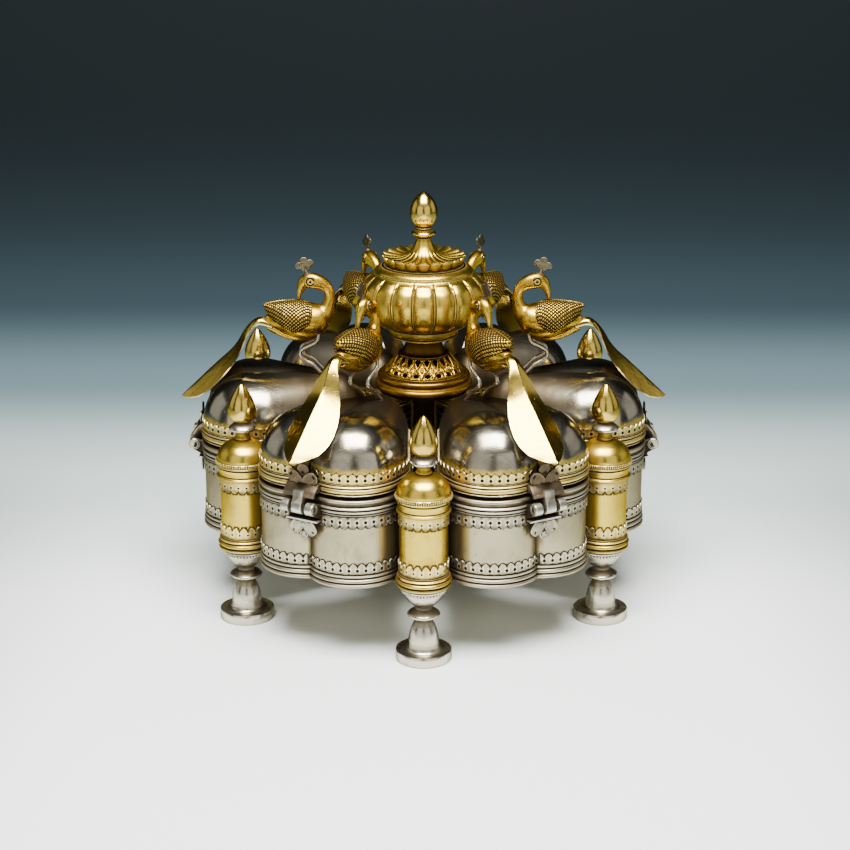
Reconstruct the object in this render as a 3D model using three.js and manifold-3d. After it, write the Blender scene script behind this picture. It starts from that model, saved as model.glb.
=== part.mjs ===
// Spice box: six heart-shaped covered boxes round a covered centre vessel, carried by six pillars.
// Millimetres, +Z up. The origin is on the floor under the middle, and one pillar stands towards -Y.
import * as THREE from 'three';
import { mergeVertices } from 'three/addons/utils/BufferGeometryUtils.js';
import { ConvexGeometry } from 'three/addons/geometries/ConvexGeometry.js';
import Module from 'manifold-3d';

const wasm = await Module();
wasm.setup();

// Plan of the boxes. Each box has its own frame: x runs outwards along its centreline, y across it.
const sectors = 6;
const lobeRadius = 22.2; // outer lobes, at the crest of the mouldings
const lobeSide = 12.3; // lobe centres off the box's centreline
const flankGap = 5.7; // from a box's flank to the plane midway to its neighbour
const pillarRing = 12.4; // radius of the pillars' rings, which the lobes are soldered to
const footRing = 22.9; // radius of the vessel's base ring
const noseSpace = 3.6; // from the vessel's base ring to the boxes' inner ends
const solder = 0.3; // seam between pieces that are soldered or rest on each other

// Heights
const legHeight = 34; // floor to the underside of the boxes
const boxHeight = 40.8;
const lidGap = 1.7; // dark gap under a closed lid
const lidRimHeight = 8.5;
const domeRise = 21.5; // ridge over the lobes, above the lid's rim
const noseRise = 18.5; // ridge at the inner end, above the lid's rim

// Sheet and mouldings
const wall = 1.2;
const relief = 1.2; // how far the mouldings stand proud of the plain walls
const baseMoulding = 7.5;
const rimMoulding = 6.8;
const bezelHeight = 3.2; // collar inside the box's mouth, above its rim
const bezelPlay = 0.6;
const bezelDepth = 3;

// Pillars
const shaftRadius = 10.6;
const capHeight = 36;
const budRadius = 6.4;
const footDisc = 12.4;
const footDiscHeight = 4.5;
const shaftRimHeight = 5.2;

// Hinges
const hingeWidth = 15.6;
const lugWidth = 3.5;
const tongueWidth = 5;
const knuckleRadius = 2.8;
const pinHole = 1.65;
const pinPlay = 0.3;
const pinRecess = 0.9;
const knuckleDrop = 4.5; // hinge axis below the box's rim
const knuckleOut = 1.4; // from the lobes' crest to the knuckles
const leafReach = 9;
const leafSheet = 1;

// Peacocks, along the box's centreline from the middle of the object
const birdOut = 58; // middle of the body
const birdClear = 16; // belly above the ridge under it
const bodyHalfLength = 16; // middle of the body to the rump
const bodyHalfHeight = 8.8;
const bodyHalfWidth = 8.4;
const wireRadius = 0.75;
const legSpread = 4.6;
const tailSheet = 0.9;
const tailHalfWidth = 11.4;
const tailFold = 5.8; // keel above the edges of the blade, square to it
const tailDrop = 38.5; // rump to the tip
const tailOverhang = 10.5; // tip outside the lobes' crest
const crestReach = 6.6;
const crestSheet = 0.7;
const crestLean = 0.25; // radians, outwards
const headUp = 20; // head above the middle of the body

// Centre vessel
const vesselBase = 97.3; // underside of the vessel's base ring
const bowlRadius = 29.8;
const bowlWall = 1.2;
const collarRadius = 15.5;
const mouthRadius = 20.6;
const lidConeRadius = 19.6;
const postRadius = 5;
const plateSheet = 1.6;
const plateRadius = 44;

// Places that follow from these sizes
const half = Math.PI / sectors;
const quarterTurn = Math.PI / 2;
const pillarCircle = (lobeSide + lobeRadius + solder + pillarRing) / Math.sin(half);
const lobeOut = pillarCircle * Math.cos(half);
const shoulderOut = (lobeRadius + flankGap + lobeSide * Math.cos(half)) / Math.sin(half);
const noseReach = footRing + noseSpace;
const noseOut = (noseReach - flankGap) / (1 - Math.sin(half));
const noseRadius = noseOut - noseReach;
const boxRim = legHeight + boxHeight;
const lidBottom = boxRim + lidGap;
const lidTop = lidBottom + lidRimHeight;
const innerInset = relief + wall;
const bezelInset = innerInset + bezelPlay;
const domeInset = relief;
const crest = lobeOut + lobeRadius;
const hingeOut = crest + knuckleOut + knuckleRadius;
const hingeUp = boxRim - knuckleDrop;

// Metals
const silver = () => new THREE.MeshStandardMaterial({ color: 0xb9b7b0, roughness: 0.32, metalness: 1 });
const darkSilver = () => new THREE.MeshStandardMaterial({ color: 0x8a867e, roughness: 0.28, metalness: 1 });
const gilt = () => new THREE.MeshStandardMaterial({ color: 0xc9a04a, roughness: 0.3, metalness: 1 });
const paleGilt = () => new THREE.MeshStandardMaterial({ color: 0xe0c878, roughness: 0.22, metalness: 1 });

// Closed skin over a row of rings with equal counts. It is capped at both ends, or runs round on itself.
function skin(rings, round = false) {
  const count = rings[0].length;
  const points = rings.flat();
  const faces = [];
  const bands = round ? rings.length : rings.length - 1;
  for (let i = 0; i < bands; i += 1) {
    const low = i * count;
    const high = ((i + 1) % rings.length) * count;
    for (let j = 0; j < count; j += 1) {
      const next = (j + 1) % count;
      faces.push(low + j, low + next, high + next);
      faces.push(low + j, high + next, high + j);
    }
  }
  if (!round) {
    const last = (rings.length - 1) * count;
    points.push(middle(rings[0]), middle(rings[rings.length - 1]));
    for (let j = 0; j < count; j += 1) {
      const next = (j + 1) % count;
      faces.push(points.length - 2, next, j);
      faces.push(points.length - 1, last + j, last + next);
    }
  }
  const geometry = new THREE.BufferGeometry().setFromPoints(points);
  geometry.setIndex(faces);
  return geometry;
}

function middle(ring) {
  const sum = new THREE.Vector3();
  ring.forEach((point) => sum.add(point));
  return sum.divideScalar(ring.length);
}

// Solids for joining and cutting, and back again
function solid(geometry) {
  const bare = geometry.clone();
  bare.deleteAttribute('normal');
  bare.deleteAttribute('uv');
  const merged = mergeVertices(bare, 1e-4);
  return new wasm.Manifold(new wasm.Mesh({
    numProp: 3,
    vertProperties: new Float32Array(merged.attributes.position.array),
    triVerts: new Uint32Array(merged.index.array),
  }));
}

function surface(body) {
  const mesh = body.getMesh();
  const geometry = new THREE.BufferGeometry();
  geometry.setAttribute('position', new THREE.BufferAttribute(mesh.vertProperties, 3));
  geometry.setIndex(new THREE.BufferAttribute(mesh.triVerts, 1));
  return geometry;
}

function join(first, ...others) {
  return others.reduce((sum, other) => sum.add(other), first);
}

function block(x0, x1, y0, y1, z0, z1) {
  const geometry = new THREE.BoxGeometry(x1 - x0, y1 - y0, z1 - z0);
  geometry.translate((x0 + x1) / 2, (y0 + y1) / 2, (z0 + z1) / 2);
  return solid(geometry);
}

// Round bar along the hinge axis, which lies across the box's centreline
function bar(radius, y0, y1, sides = 10) {
  const geometry = new THREE.CylinderGeometry(radius, radius, y1 - y0, sides);
  geometry.translate(hingeOut, (y0 + y1) / 2, hingeUp);
  return solid(geometry);
}

function turned(profile, sides) {
  const points = profile.map(([radius, height]) => new THREE.Vector2(radius, height));
  return new THREE.LatheGeometry(points, sides).rotateX(quarterTurn);
}

function arc(cx, cy, radius, from, to, steps) {
  const points = [];
  for (let i = 0; i <= steps; i += 1) {
    const angle = from + ((to - from) * i) / steps;
    points.push([cx + radius * Math.cos(angle), cy + radius * Math.sin(angle)]);
  }
  return points;
}

// Heart-shaped plan of a box, drawn in by an inset from the crest of its mouldings. It starts in the
// cleft and runs round one lobe and flank to the inner end, and back along the other side.
const lobeSteps = 5;
const noseSteps = 3;
function plan(inset) {
  const radius = lobeRadius - inset;
  const cleft = Math.asin(lobeSide / radius);
  const side = [
    ...arc(lobeOut, lobeSide, radius, -cleft, quarterTurn, lobeSteps),
    ...arc(shoulderOut, lobeSide, radius, quarterTurn, quarterTurn + half, 2).slice(1),
    ...arc(noseOut, 0, noseRadius - inset, quarterTurn + half, 2 * quarterTurn, noseSteps),
  ];
  const back = side.slice(1, -1).reverse().map(([x, y]) => [x, -y]);
  return [...side, ...back];
}

function planRings(profile) {
  return profile.map(([inset, height]) => plan(inset).map(([x, y]) => new THREE.Vector3(x, y, height)));
}

// Broad reed and a narrower one, from z0 up to z1, where the plain wall begins
function reeds(z0, z1) {
  const h = z1 - z0;
  return [
    [relief * 0.6, z0],
    [0, z0 + h * 0.14],
    [0, z0 + h * 0.55],
    [relief * 0.5, z0 + h * 0.65],
    [relief, z1],
  ];
}

function mirrored(profile, z0, z1) {
  return profile.map(([inset, z]) => [inset, z0 + z1 - z]).reverse();
}

// Box: open tub with a moulded base and rim, and a collar inside its mouth for the lid
function boxGeometry() {
  const rimLow = boxRim - rimMoulding;
  return skin(planRings([
    ...reeds(legHeight, legHeight + baseMoulding),
    ...mirrored(reeds(rimLow, boxRim), rimLow, boxRim),
    [bezelInset, boxRim],
    [bezelInset, boxRim + bezelHeight],
    [bezelInset + wall, boxRim + bezelHeight],
    [bezelInset + wall, boxRim - bezelDepth],
    [innerInset, boxRim - bezelDepth],
    [innerInset, legHeight + wall],
  ]));
}

// Quarter-round end of one lobe's ridge: rows of a dome over a round plan
function domeRows(cx, cy, radius, base, rise, sides, rows) {
  const points = [];
  for (let row = 0; row < rows; row += 1) {
    const lift = (row / rows) * quarterTurn;
    const ring = arc(cx, cy, radius * Math.cos(lift), 0, 4 * quarterTurn, sides).slice(1);
    ring.forEach(([x, y]) => points.push(new THREE.Vector3(x, y, base + rise * Math.sin(lift))));
  }
  points.push(new THREE.Vector3(cx, cy, base + rise));
  return points;
}

// Two barrel-backed ridges, one from each lobe, that run together at the inner end
function ridges(inset, base, thinner, sides, rows) {
  const lobes = [1, -1].map((side) => {
    const y = side * lobeSide;
    const rise = domeRise - thinner;
    return solid(new ConvexGeometry([
      ...domeRows(lobeOut, y, lobeRadius - inset, base, rise, sides, rows),
      ...domeRows(shoulderOut, y, lobeRadius - inset, base, rise, sides, rows),
      ...domeRows(noseOut, 0, noseRadius - inset, base, noseRise - thinner, sides, rows),
    ]));
  });
  return join(...lobes);
}

// Lid: a moulded band with the ridges over it, raised from one sheet and open underneath
const domeSides = 14;
const domeRowCount = 3;
const fuse = 0.4; // overlap where shapes are joined to one solid
function lidGeometry() {
  const band = solid(skin(planRings([
    [relief * 0.5, lidBottom],
    [0, lidBottom + lidRimHeight * 0.1],
    [0, lidBottom + lidRimHeight * 0.4],
    [relief * 0.6, lidBottom + lidRimHeight * 0.5],
    [relief * 0.6, lidTop],
  ])));
  const dome = ridges(domeInset, lidTop - fuse, 0, domeSides, domeRowCount);
  const mouth = planPrism(innerInset, lidBottom - 1, lidTop);
  const hollow = ridges(innerInset, lidTop - fuse, wall, domeSides - 4, domeRowCount - 1);
  return surface(band.add(dome).subtract(mouth.add(hollow)));
}

function ridgeHeight(x) {
  const share = (x - noseOut) / (lobeOut - noseOut);
  return lidTop - fuse + noseRise + (domeRise - noseRise) * share;
}

// Flat three-lobed leaf with its root at the origin, pointing along +y of its shape
function trefoil(reach) {
  const shape = new THREE.Shape();
  const lobeAngle = (70 * Math.PI) / 180;
  const steps = 10;
  shape.moveTo(0, -reach * 0.15);
  for (let i = 0; i <= steps; i += 1) {
    const angle = 1.5 * lobeAngle * (1 - (2 * i) / steps);
    const swell = Math.abs(Math.cos((Math.PI * angle) / lobeAngle));
    const radius = reach * (0.5 + 0.5 * swell ** 0.7);
    shape.lineTo(radius * Math.sin(angle), radius * Math.cos(angle));
  }
  return shape;
}

// Leaf of a hinge, standing across the centreline in front of the cleft. dir is 1 upwards, -1 downwards.
function hingeLeaf(height, dir) {
  const geometry = new THREE.ExtrudeGeometry(trefoil(leafReach), { depth: leafSheet, bevelEnabled: false });
  geometry.rotateX(quarterTurn);
  geometry.rotateZ(quarterTurn);
  if (dir < 0) {
    geometry.rotateX(2 * quarterTurn);
  }
  geometry.translate(crest + solder, 0, height);
  return solid(geometry);
}

function planPrism(inset, z0, z1) {
  return solid(skin(planRings([[inset, z0], [inset, z1]])));
}

const halfHinge = hingeWidth / 2;
const plateFront = crest + knuckleOut - 0.4;
const lowerPlateTop = hingeUp - 1.3;
const lowerPlateHeight = 8;
const cleftDepth = 6;
function lowerLeafGeometry() {
  const plateBottom = lowerPlateTop - lowerPlateHeight;
  const plate = block(crest - cleftDepth, plateFront, -halfHinge, halfHinge, plateBottom, lowerPlateTop);
  const fitted = plate.subtract(planPrism(-solder, plateBottom - 1, lowerPlateTop + 1));
  const lugs = [1, -1].map((side) => {
    const outer = side * halfHinge;
    const inner = side * (halfHinge - lugWidth);
    const [y0, y1] = [Math.min(outer, inner), Math.max(outer, inner)];
    const arm = block(plateFront - leafSheet, hingeOut, y0, y1, hingeUp - knuckleRadius, lowerPlateTop);
    return bar(knuckleRadius, y0, y1).add(arm);
  });
  const leaf = hingeLeaf(plateBottom + 3, -1);
  const hole = bar(pinHole, -halfHinge - 1, halfHinge + 1, 8);
  return surface(join(fitted, ...lugs, leaf).subtract(hole));
}

const upperPlateLift = 0.6;
const upperPlateHeight = 3.4;
const lipOut = 4.2;
const lipDrop = 2;
function upperLeafGeometry() {
  const low = lidBottom + upperPlateLift;
  const high = low + upperPlateHeight;
  const front = crest + lipOut;
  const halfTongue = tongueWidth / 2;
  const plate = block(crest - cleftDepth, front, -halfHinge, halfHinge, low, high);
  const lip = block(front - 1, front + leafSheet, -halfHinge, halfHinge, low - lipDrop, low + 1);
  const fitted = plate.add(lip).subtract(planPrism(-solder, low - 3, high + 1));
  const arm = block(hingeOut - knuckleRadius, hingeOut, -halfTongue, halfTongue, hingeUp, low + 1);
  const knuckle = bar(knuckleRadius, -halfTongue, halfTongue);
  const leaf = hingeLeaf(high - 1, 1);
  const hole = bar(pinHole, -halfTongue - 1, halfTongue + 1, 8);
  return surface(join(fitted, arm, knuckle, leaf).subtract(hole));
}

function pinGeometry() {
  const reach = halfHinge - pinRecess;
  return surface(bar(pinHole - pinPlay, -reach, reach, 8));
}

// Rings of ellipses along the centreline: each row is distance, height, half height, half width
function swell(rows, sides) {
  return skin(rows.map(([x, z, high, wide]) => {
    const ring = arc(0, 0, 1, 0, 4 * quarterTurn, sides).slice(0, -1);
    return ring.map(([across, up]) => new THREE.Vector3(x, wide * across, z + high * up));
  }));
}

// Tube of changing radius along a curve in the plane of the centreline: rows are distance, height, radius
function limb(rows, sides) {
  const curve = new THREE.CatmullRomCurve3(rows.map(([x, z]) => new THREE.Vector3(x, 0, z)));
  return skin(rows.map(([x, z, radius], i) => {
    const along = curve.getTangent(i / (rows.length - 1));
    const ring = arc(0, 0, radius, 0, 4 * quarterTurn, sides).slice(0, -1);
    return ring.map(([across, up]) => new THREE.Vector3(x - along.z * up, across, z + along.x * up));
  }));
}

// Peacock. Its points hang on the middle of its body, by shares of its length, its height and its neck's reach.
const birdUp = ridgeHeight(birdOut) + birdClear + bodyHalfHeight;
const bodyTop = birdUp + bodyHalfHeight;
function birdGeometry() {
  const l = bodyHalfLength;
  const h = bodyHalfHeight;
  const w = bodyHalfWidth;
  const n = headUp;
  const body = swell([
    [birdOut - l * 0.94, birdUp + h * 0.06, h * 0.25, w * 0.26],
    [birdOut - l * 0.72, birdUp, h * 0.66, w * 0.62],
    [birdOut - l * 0.38, birdUp - h * 0.03, h * 0.95, w * 0.93],
    [birdOut, birdUp - h * 0.03, h, w],
    [birdOut + l * 0.41, birdUp, h * 0.84, w * 0.85],
    [birdOut + l * 0.75, birdUp + h * 0.09, h * 0.55, w * 0.6],
    [birdOut + l, birdUp + h * 0.18, h * 0.2, w * 0.36],
  ], 10);
  const wings = swell([
    [birdOut - l * 0.59, birdUp + h * 0.17, h * 0.27, w * 0.7],
    [birdOut - l * 0.19, birdUp + h * 0.11, h * 0.86, w * 1.06],
    [birdOut + l * 0.31, birdUp + h * 0.23, h * 0.86, w * 1.02],
    [birdOut + l * 0.69, birdUp + h * 0.5, h * 0.5, w * 0.7],
    [birdOut + l * 1.03, birdUp + h * 0.86, h * 0.09, w * 0.14],
  ], 8);
  const neck = limb([
    [birdOut - l * 0.62, birdUp + n * 0.1, n * 0.26],
    [birdOut - l * 0.92, birdUp + n * 0.35, n * 0.17],
    [birdOut - l * 0.86, birdUp + n * 0.7, n * 0.12],
    [birdOut - l * 0.56, birdUp + n * 0.96, n * 0.135],
    [birdOut - l * 0.3, birdUp + n, n * 0.16],
    [birdOut - l * 0.1, birdUp + n * 0.87, n * 0.115],
    [birdOut - l * 0.03, birdUp + n * 0.69, n * 0.06],
    [birdOut + l * 0.01, bodyTop - n * 0.05, n * 0.035],
  ], 6);
  const lidSkin = ridges(domeInset - solder, lidTop - fuse - solder, -2 * solder, domeSides, domeRowCount);
  const bird = join(solid(body), solid(wings), solid(neck), headCrest(), leg(1), leg(-1));
  return surface(bird.subtract(lidSkin));
}

// Flat fan standing on the head
function headCrest() {
  const fan = new THREE.ExtrudeGeometry(trefoil(crestReach), { depth: crestSheet, bevelEnabled: false });
  fan.rotateX(quarterTurn);
  fan.rotateY(crestLean);
  fan.translate(birdOut - bodyHalfLength * 0.26, crestSheet / 2, birdUp + headUp * 1.13);
  return solid(fan);
}

// Wire leg, from the belly back to the knee and down to the ridge
function leg(side) {
  const l = bodyHalfLength;
  const foot = birdOut - l * 0.7;
  const belly = birdUp - bodyHalfHeight;
  const path = new THREE.CatmullRomCurve3([
    new THREE.Vector3(birdOut - l * 0.44, side * legSpread * 0.7, belly + birdClear * 0.19),
    new THREE.Vector3(birdOut - l * 0.53, side * legSpread * 0.9, belly - birdClear * 0.13),
    new THREE.Vector3(birdOut - l * 0.05, side * legSpread, belly - birdClear * 0.42),
    new THREE.Vector3(birdOut - l * 0.14, side * legSpread, belly - birdClear * 0.61),
    new THREE.Vector3(foot, side * legSpread, ridgeHeight(foot) - 1),
  ]);
  const ring = new THREE.Shape().absarc(0, 0, wireRadius, 0, 4 * quarterTurn, false);
  return solid(new THREE.ExtrudeGeometry(ring, {
    extrudePath: path, steps: 7, curveSegments: 2, bevelEnabled: false,
  }));
}

// Tail: one sheet folded along a keel, a thick stem at the rump, widest near its pointed end, over the lid and
// the hinge. Rows are shares of the way out, the way down, the half width, the fold and the sheet.
function tailGeometry() {
  const rump = { x: birdOut + bodyHalfLength + solder * 2, z: birdUp + bodyHalfHeight * 0.18 };
  const reach = crest + tailOverhang - rump.x;
  const rows = [
    [0, 0, 0.18, 0.04, 3.1],
    [0.1, 0.02, 0.21, 0.1, 2.9],
    [0.18, 0.09, 0.32, 0.3, 1.9],
    [0.32, 0.31, 0.6, 0.5, 1.1],
    [0.52, 0.53, 0.93, 0.9, 1],
    [0.73, 0.72, 1, 1, 1],
    [0.9, 0.89, 0.64, 0.67, 1],
    [1, 1, 0.03, 0, 1],
  ].map(([out, down, wide, fold, thick]) => ({
    at: new THREE.Vector2(rump.x + reach * out, rump.z - tailDrop * down),
    y: wide * tailHalfWidth,
    fold: fold * tailFold,
    sheet: thick * tailSheet,
  }));
  return skin(rows.map(({ at, y, fold, sheet }, i) => {
    const before = rows[Math.max(i - 1, 0)].at;
    const after = rows[Math.min(i + 1, rows.length - 1)].at;
    const along = after.clone().sub(before).normalize();
    const under = (depth, across) => new THREE.Vector3(at.x + along.y * depth, across, at.y - along.x * depth);
    return [
      under(fold, y),
      under(0, 0),
      under(fold, -y),
      under(fold + sheet, -y),
      under(sheet, 0),
      under(fold + sheet, y),
    ];
  }));
}

const shaftSides = 12;

// Pillars: a silver foot, and a gilt tube on it that is open below and ends in a dome and a bud
const shaftBottom = legHeight + 0.6;
const capBottom = boxRim + 1.2;
const footTop = shaftBottom - solder;
function footGeometry() {
  const disc = footDisc;
  const h = footDiscHeight;
  const up = footTop;
  return turned([
    [0, 0],
    [disc, 0],
    [disc, h],
    [disc * 0.6, h + 1],
    [disc * 0.56, up * 0.3],
    [disc * 0.36, up * 0.54],
    [disc * 0.62, up * 0.6],
    [disc * 0.3, up * 0.7],
    [disc * 0.55, up * 0.8],
    [disc * 0.74, up * 0.89],
    [disc * 0.78, up - plateSheet],
    [shaftRadius, up - plateSheet],
    [shaftRadius, up],
    [0, up],
  ], shaftSides);
}

function shaftGeometry() {
  const low = shaftBottom;
  const ring = pillarRing;
  const cap = capBottom;
  const h = capHeight;
  const bore = shaftRadius - wall;
  return turned([
    [bore, low],
    [ring, low],
    [ring, low + shaftRimHeight - 1],
    [shaftRadius, low + shaftRimHeight],
    [shaftRadius, cap - shaftRimHeight],
    [ring, cap - shaftRimHeight + 1],
    [ring, cap + h * 0.05],
    [ring * 0.88, cap + h * 0.15],
    [ring * 0.6, cap + h * 0.25],
    [ring * 0.29, cap + h * 0.31],
    [ring * 0.25, cap + h * 0.38],
    [ring * 0.51, cap + h * 0.43],
    [ring * 0.29, cap + h * 0.48],
    [budRadius * 0.4, cap + h * 0.51],
    [budRadius * 0.9, cap + h * 0.58],
    [budRadius, cap + h * 0.66],
    [budRadius * 0.64, cap + h * 0.86],
    [0, cap + h],
    [0, cap + h * 0.18],
    [bore, cap],
    [bore, low],
  ], shaftSides);
}

// Centre: a plate under the boxes' inner ends, a post on it, and the covered vessel on the post
function centrePlateGeometry() {
  const top = legHeight - solder;
  return turned([
    [0, top - plateSheet],
    [plateRadius, top - plateSheet],
    [plateRadius, top],
    [0, top],
  ], 18);
}

const postFlange = 1.6;
function centrePostGeometry() {
  const low = legHeight;
  const top = vesselBase - solder;
  const flange = footRing - 1.5;
  return turned([
    [0, low],
    [postRadius * 2, low],
    [postRadius, low + 6],
    [postRadius, top - 6],
    [flange, top - postFlange],
    [flange, top],
    [0, top],
  ], shaftSides);
}

const vesselSides = 20;
const stemHeight = 24; // base ring to the underside of the bowl
const stemRadius = 8;
const pierceWall = 1.2;
const baseRingHeight = 6;
function vesselFootGeometry() {
  const low = vesselBase;
  const up = stemHeight;
  const ring = footRing;
  const base = baseRingHeight;
  return turned([
    [ring - 2.4, low],
    [ring, low],
    [ring, low + base * 0.45],
    [ring - 1.4, low + base * 0.55],
    [ring - 2.2, low + base],
    [ring * 0.82, low + base + 1.6],
    [ring * 0.5, low + up * 0.66],
    [ring * 0.48, low + up * 0.73],
    [stemRadius * 1.12, low + up * 0.88],
    [stemRadius, low + up],
    [0, low + up],
    [0, low + up - pierceWall],
    [stemRadius - pierceWall, low + up - pierceWall],
    [ring * 0.5 - pierceWall * 1.2, low + up * 0.64],
    [ring * 0.82 - pierceWall * 1.2, low + base + 0.8],
    [ring - 2.4, low],
  ], vesselSides);
}

const bowlHeight = 33.6; // underside of the collar to the bowl's rim
const bowlBottom = vesselBase + stemHeight + solder;
const bowlRim = bowlBottom + bowlHeight;
const collarHeight = 4.6;
const neckHeight = 5;
function bowlSide(inset, steps) {
  const low = bowlBottom + collarHeight;
  const high = bowlRim - neckHeight;
  const widest = low + (high - low) * 0.52;
  const foot = collarRadius + 1;
  const shoulder = mouthRadius + 2.4;
  const rows = [];
  for (let i = -steps; i <= steps; i += 1) {
    const angle = (quarterTurn * i) / (steps + 0.3);
    const waist = i < 0 ? foot : shoulder;
    const reach = i < 0 ? widest - low : high - widest;
    rows.push([waist + (bowlRadius - waist) * Math.cos(angle) - inset, widest + reach * Math.sin(angle)]);
  }
  return rows;
}

function bowlGeometry() {
  const low = bowlBottom;
  const outer = bowlSide(0, 3);
  const inner = bowlSide(bowlWall, 3);
  return turned([
    [0, low],
    [collarRadius, low],
    [collarRadius, low + collarHeight],
    ...outer,
    [mouthRadius + 0.9, bowlRim - neckHeight],
    [mouthRadius, bowlRim],
    [mouthRadius - bowlWall, bowlRim],
    [mouthRadius - bowlWall, bowlRim - neckHeight],
    ...inner.reverse(),
    [0, low + collarHeight - 1],
  ], vesselSides);
}

const vesselLidHeight = 34.5; // bowl's rim to the finial's point
const lidSkirt = 4.4;
const spigotDepth = 3.5;
const finialNeck = 3.5;
const finialBud = 6.4;
function vesselLidGeometry() {
  const seat = bowlRim + solder;
  const edge = lidConeRadius;
  const spigot = mouthRadius - bowlWall - 0.4;
  const top = seat + lidSkirt;
  return turned([
    [spigot - bowlWall, seat - spigotDepth],
    [spigot, seat - spigotDepth],
    [spigot, seat],
    [edge * 0.91, seat],
    [edge, top - 0.6],
    [edge - 0.8, top],
    [edge * 0.68, top + 1.4],
    [edge * 0.46, top + 3.6],
    [edge * 0.28, top + 6.2],
    [finialNeck, top + 8.4],
    [0, top + 8.4],
    [0, top + 6.4],
    [edge * 0.2, top + 4.4],
    [edge * 0.44, top + 2],
    [edge * 0.66, top],
    [spigot - bowlWall, top - 1.6],
    [spigot - bowlWall, seat - spigotDepth],
  ], vesselSides);
}

function finialGeometry() {
  const low = bowlRim + solder + lidSkirt + 8.4 + solder;
  const tip = bowlRim + vesselLidHeight;
  const h = tip - low;
  return turned([
    [0, low],
    [finialNeck, low],
    [finialNeck * 0.9, low + h * 0.07],
    [finialNeck * 1.5, low + h * 0.15],
    [finialNeck * 0.8, low + h * 0.27],
    [finialBud * 0.68, low + h * 0.34],
    [finialBud, low + h * 0.54],
    [finialBud * 0.84, low + h * 0.72],
    [finialBud * 0.34, low + h * 0.92],
    [0, low + h],
  ], shaftSides);
}

// Assembly
const spiceBox = new THREE.Group();

function add(name, geometry, material, parent = spiceBox) {
  const mesh = new THREE.Mesh(geometry, material);
  mesh.name = name;
  parent.add(mesh);
  return mesh;
}

const boxShape = boxGeometry();
const lidShape = lidGeometry();
const lowerLeafShape = lowerLeafGeometry();
const upperLeafShape = upperLeafGeometry();
const pinShape = pinGeometry();
const birdShape = birdGeometry();
const tailShape = tailGeometry();
for (let i = 0; i < sectors; i += 1) {
  const sector = new THREE.Group();
  sector.rotation.z = -quarterTurn + half * (2 * i + 1);
  spiceBox.add(sector);
  const number = i + 1;
  add(`box_${number}`, boxShape, silver(), sector);
  add(`lid_${number}`, lidShape, darkSilver(), sector);
  add(`box_hinge_leaf_${number}`, lowerLeafShape, silver(), sector);
  add(`lid_hinge_leaf_${number}`, upperLeafShape, darkSilver(), sector);
  add(`hinge_pin_${number}`, pinShape, silver(), sector);
  add(`peacock_${number}`, birdShape, gilt(), sector);
  add(`peacock_tail_${number}`, tailShape, paleGilt(), sector);
}

const shaftShape = shaftGeometry();
const footShape = footGeometry();
for (let i = 0; i < sectors; i += 1) {
  const angle = -quarterTurn + 2 * half * i;
  const pillar = new THREE.Group();
  pillar.position.set(pillarCircle * Math.cos(angle), pillarCircle * Math.sin(angle), 0);
  spiceBox.add(pillar);
  add(`pillar_shaft_${i + 1}`, shaftShape, gilt(), pillar);
  add(`pillar_foot_${i + 1}`, footShape, silver(), pillar);
}

add('centre_plate', centrePlateGeometry(), silver());
add('centre_post', centrePostGeometry(), silver());
add('vessel_foot', vesselFootGeometry(), gilt());
add('vessel_bowl', bowlGeometry(), gilt());
add('vessel_lid', vesselLidGeometry(), gilt());
add('vessel_finial', finialGeometry(), paleGilt());

export default spiceBox;
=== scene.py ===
"""Spice box: six heart-shaped covered boxes with peacocks, round a covered centre vessel on six pillars.

Sizes are in millimetres while a piece is shaped, and in metres once it is made. A box is shaped in its own
frame, x outwards along its centreline and y across it, and then turned to its place round the middle.
"""
import math

import bmesh
import bpy
import numpy as np
from mathutils import Matrix, Vector
from mathutils.bvhtree import BVHTree
from mathutils.geometry import delaunay_2d_cdt


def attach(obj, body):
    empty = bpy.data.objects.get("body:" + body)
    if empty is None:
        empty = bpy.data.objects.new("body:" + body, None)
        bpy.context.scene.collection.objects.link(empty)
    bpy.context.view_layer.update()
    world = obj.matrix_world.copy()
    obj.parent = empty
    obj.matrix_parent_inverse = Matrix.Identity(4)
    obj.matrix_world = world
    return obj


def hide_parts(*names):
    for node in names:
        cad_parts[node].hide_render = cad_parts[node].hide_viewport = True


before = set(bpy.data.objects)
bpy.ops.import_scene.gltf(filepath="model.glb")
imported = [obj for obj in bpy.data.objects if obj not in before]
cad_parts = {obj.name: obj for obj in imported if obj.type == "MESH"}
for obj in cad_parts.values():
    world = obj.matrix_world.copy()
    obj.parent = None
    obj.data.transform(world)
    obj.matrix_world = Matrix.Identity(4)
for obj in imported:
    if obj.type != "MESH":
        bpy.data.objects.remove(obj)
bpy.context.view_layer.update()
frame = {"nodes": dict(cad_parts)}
MM = 0.001

# Plan of a box
LOBE_OUT, LOBE_SIDE, LOBE_RADIUS = 81.753, 12.3, 22.2
SHOULDER_OUT = 77.10
NOSE_OUT, NOSE_RADIUS = 41.6, 15.1
CREST = LOBE_OUT + LOBE_RADIUS
PILLAR_CIRCLE = 94.4

# Heights
BOX_LOW, BOX_RIM = 34.0, 74.8
LID_LOW, LID_TOP = 76.5, 85.0
DOME_FOOT = 84.6
LOBE_RISE, NOSE_RISE = 21.5, 18.5
WALL_INSET, INNER_INSET = 1.2, 2.4

# Punched strips
STRIP_SHEET = 0.52
BOX_SCALLOPS, PILLAR_SCALLOPS = 62, 19

SECTORS = 6


def sector_turn(number):
    return math.radians(-90 + 30 * (2 * number - 1))


def pillar_turn(number):
    return math.radians(60 * (number - 1))


# ---------- camera, floor and light


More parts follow.
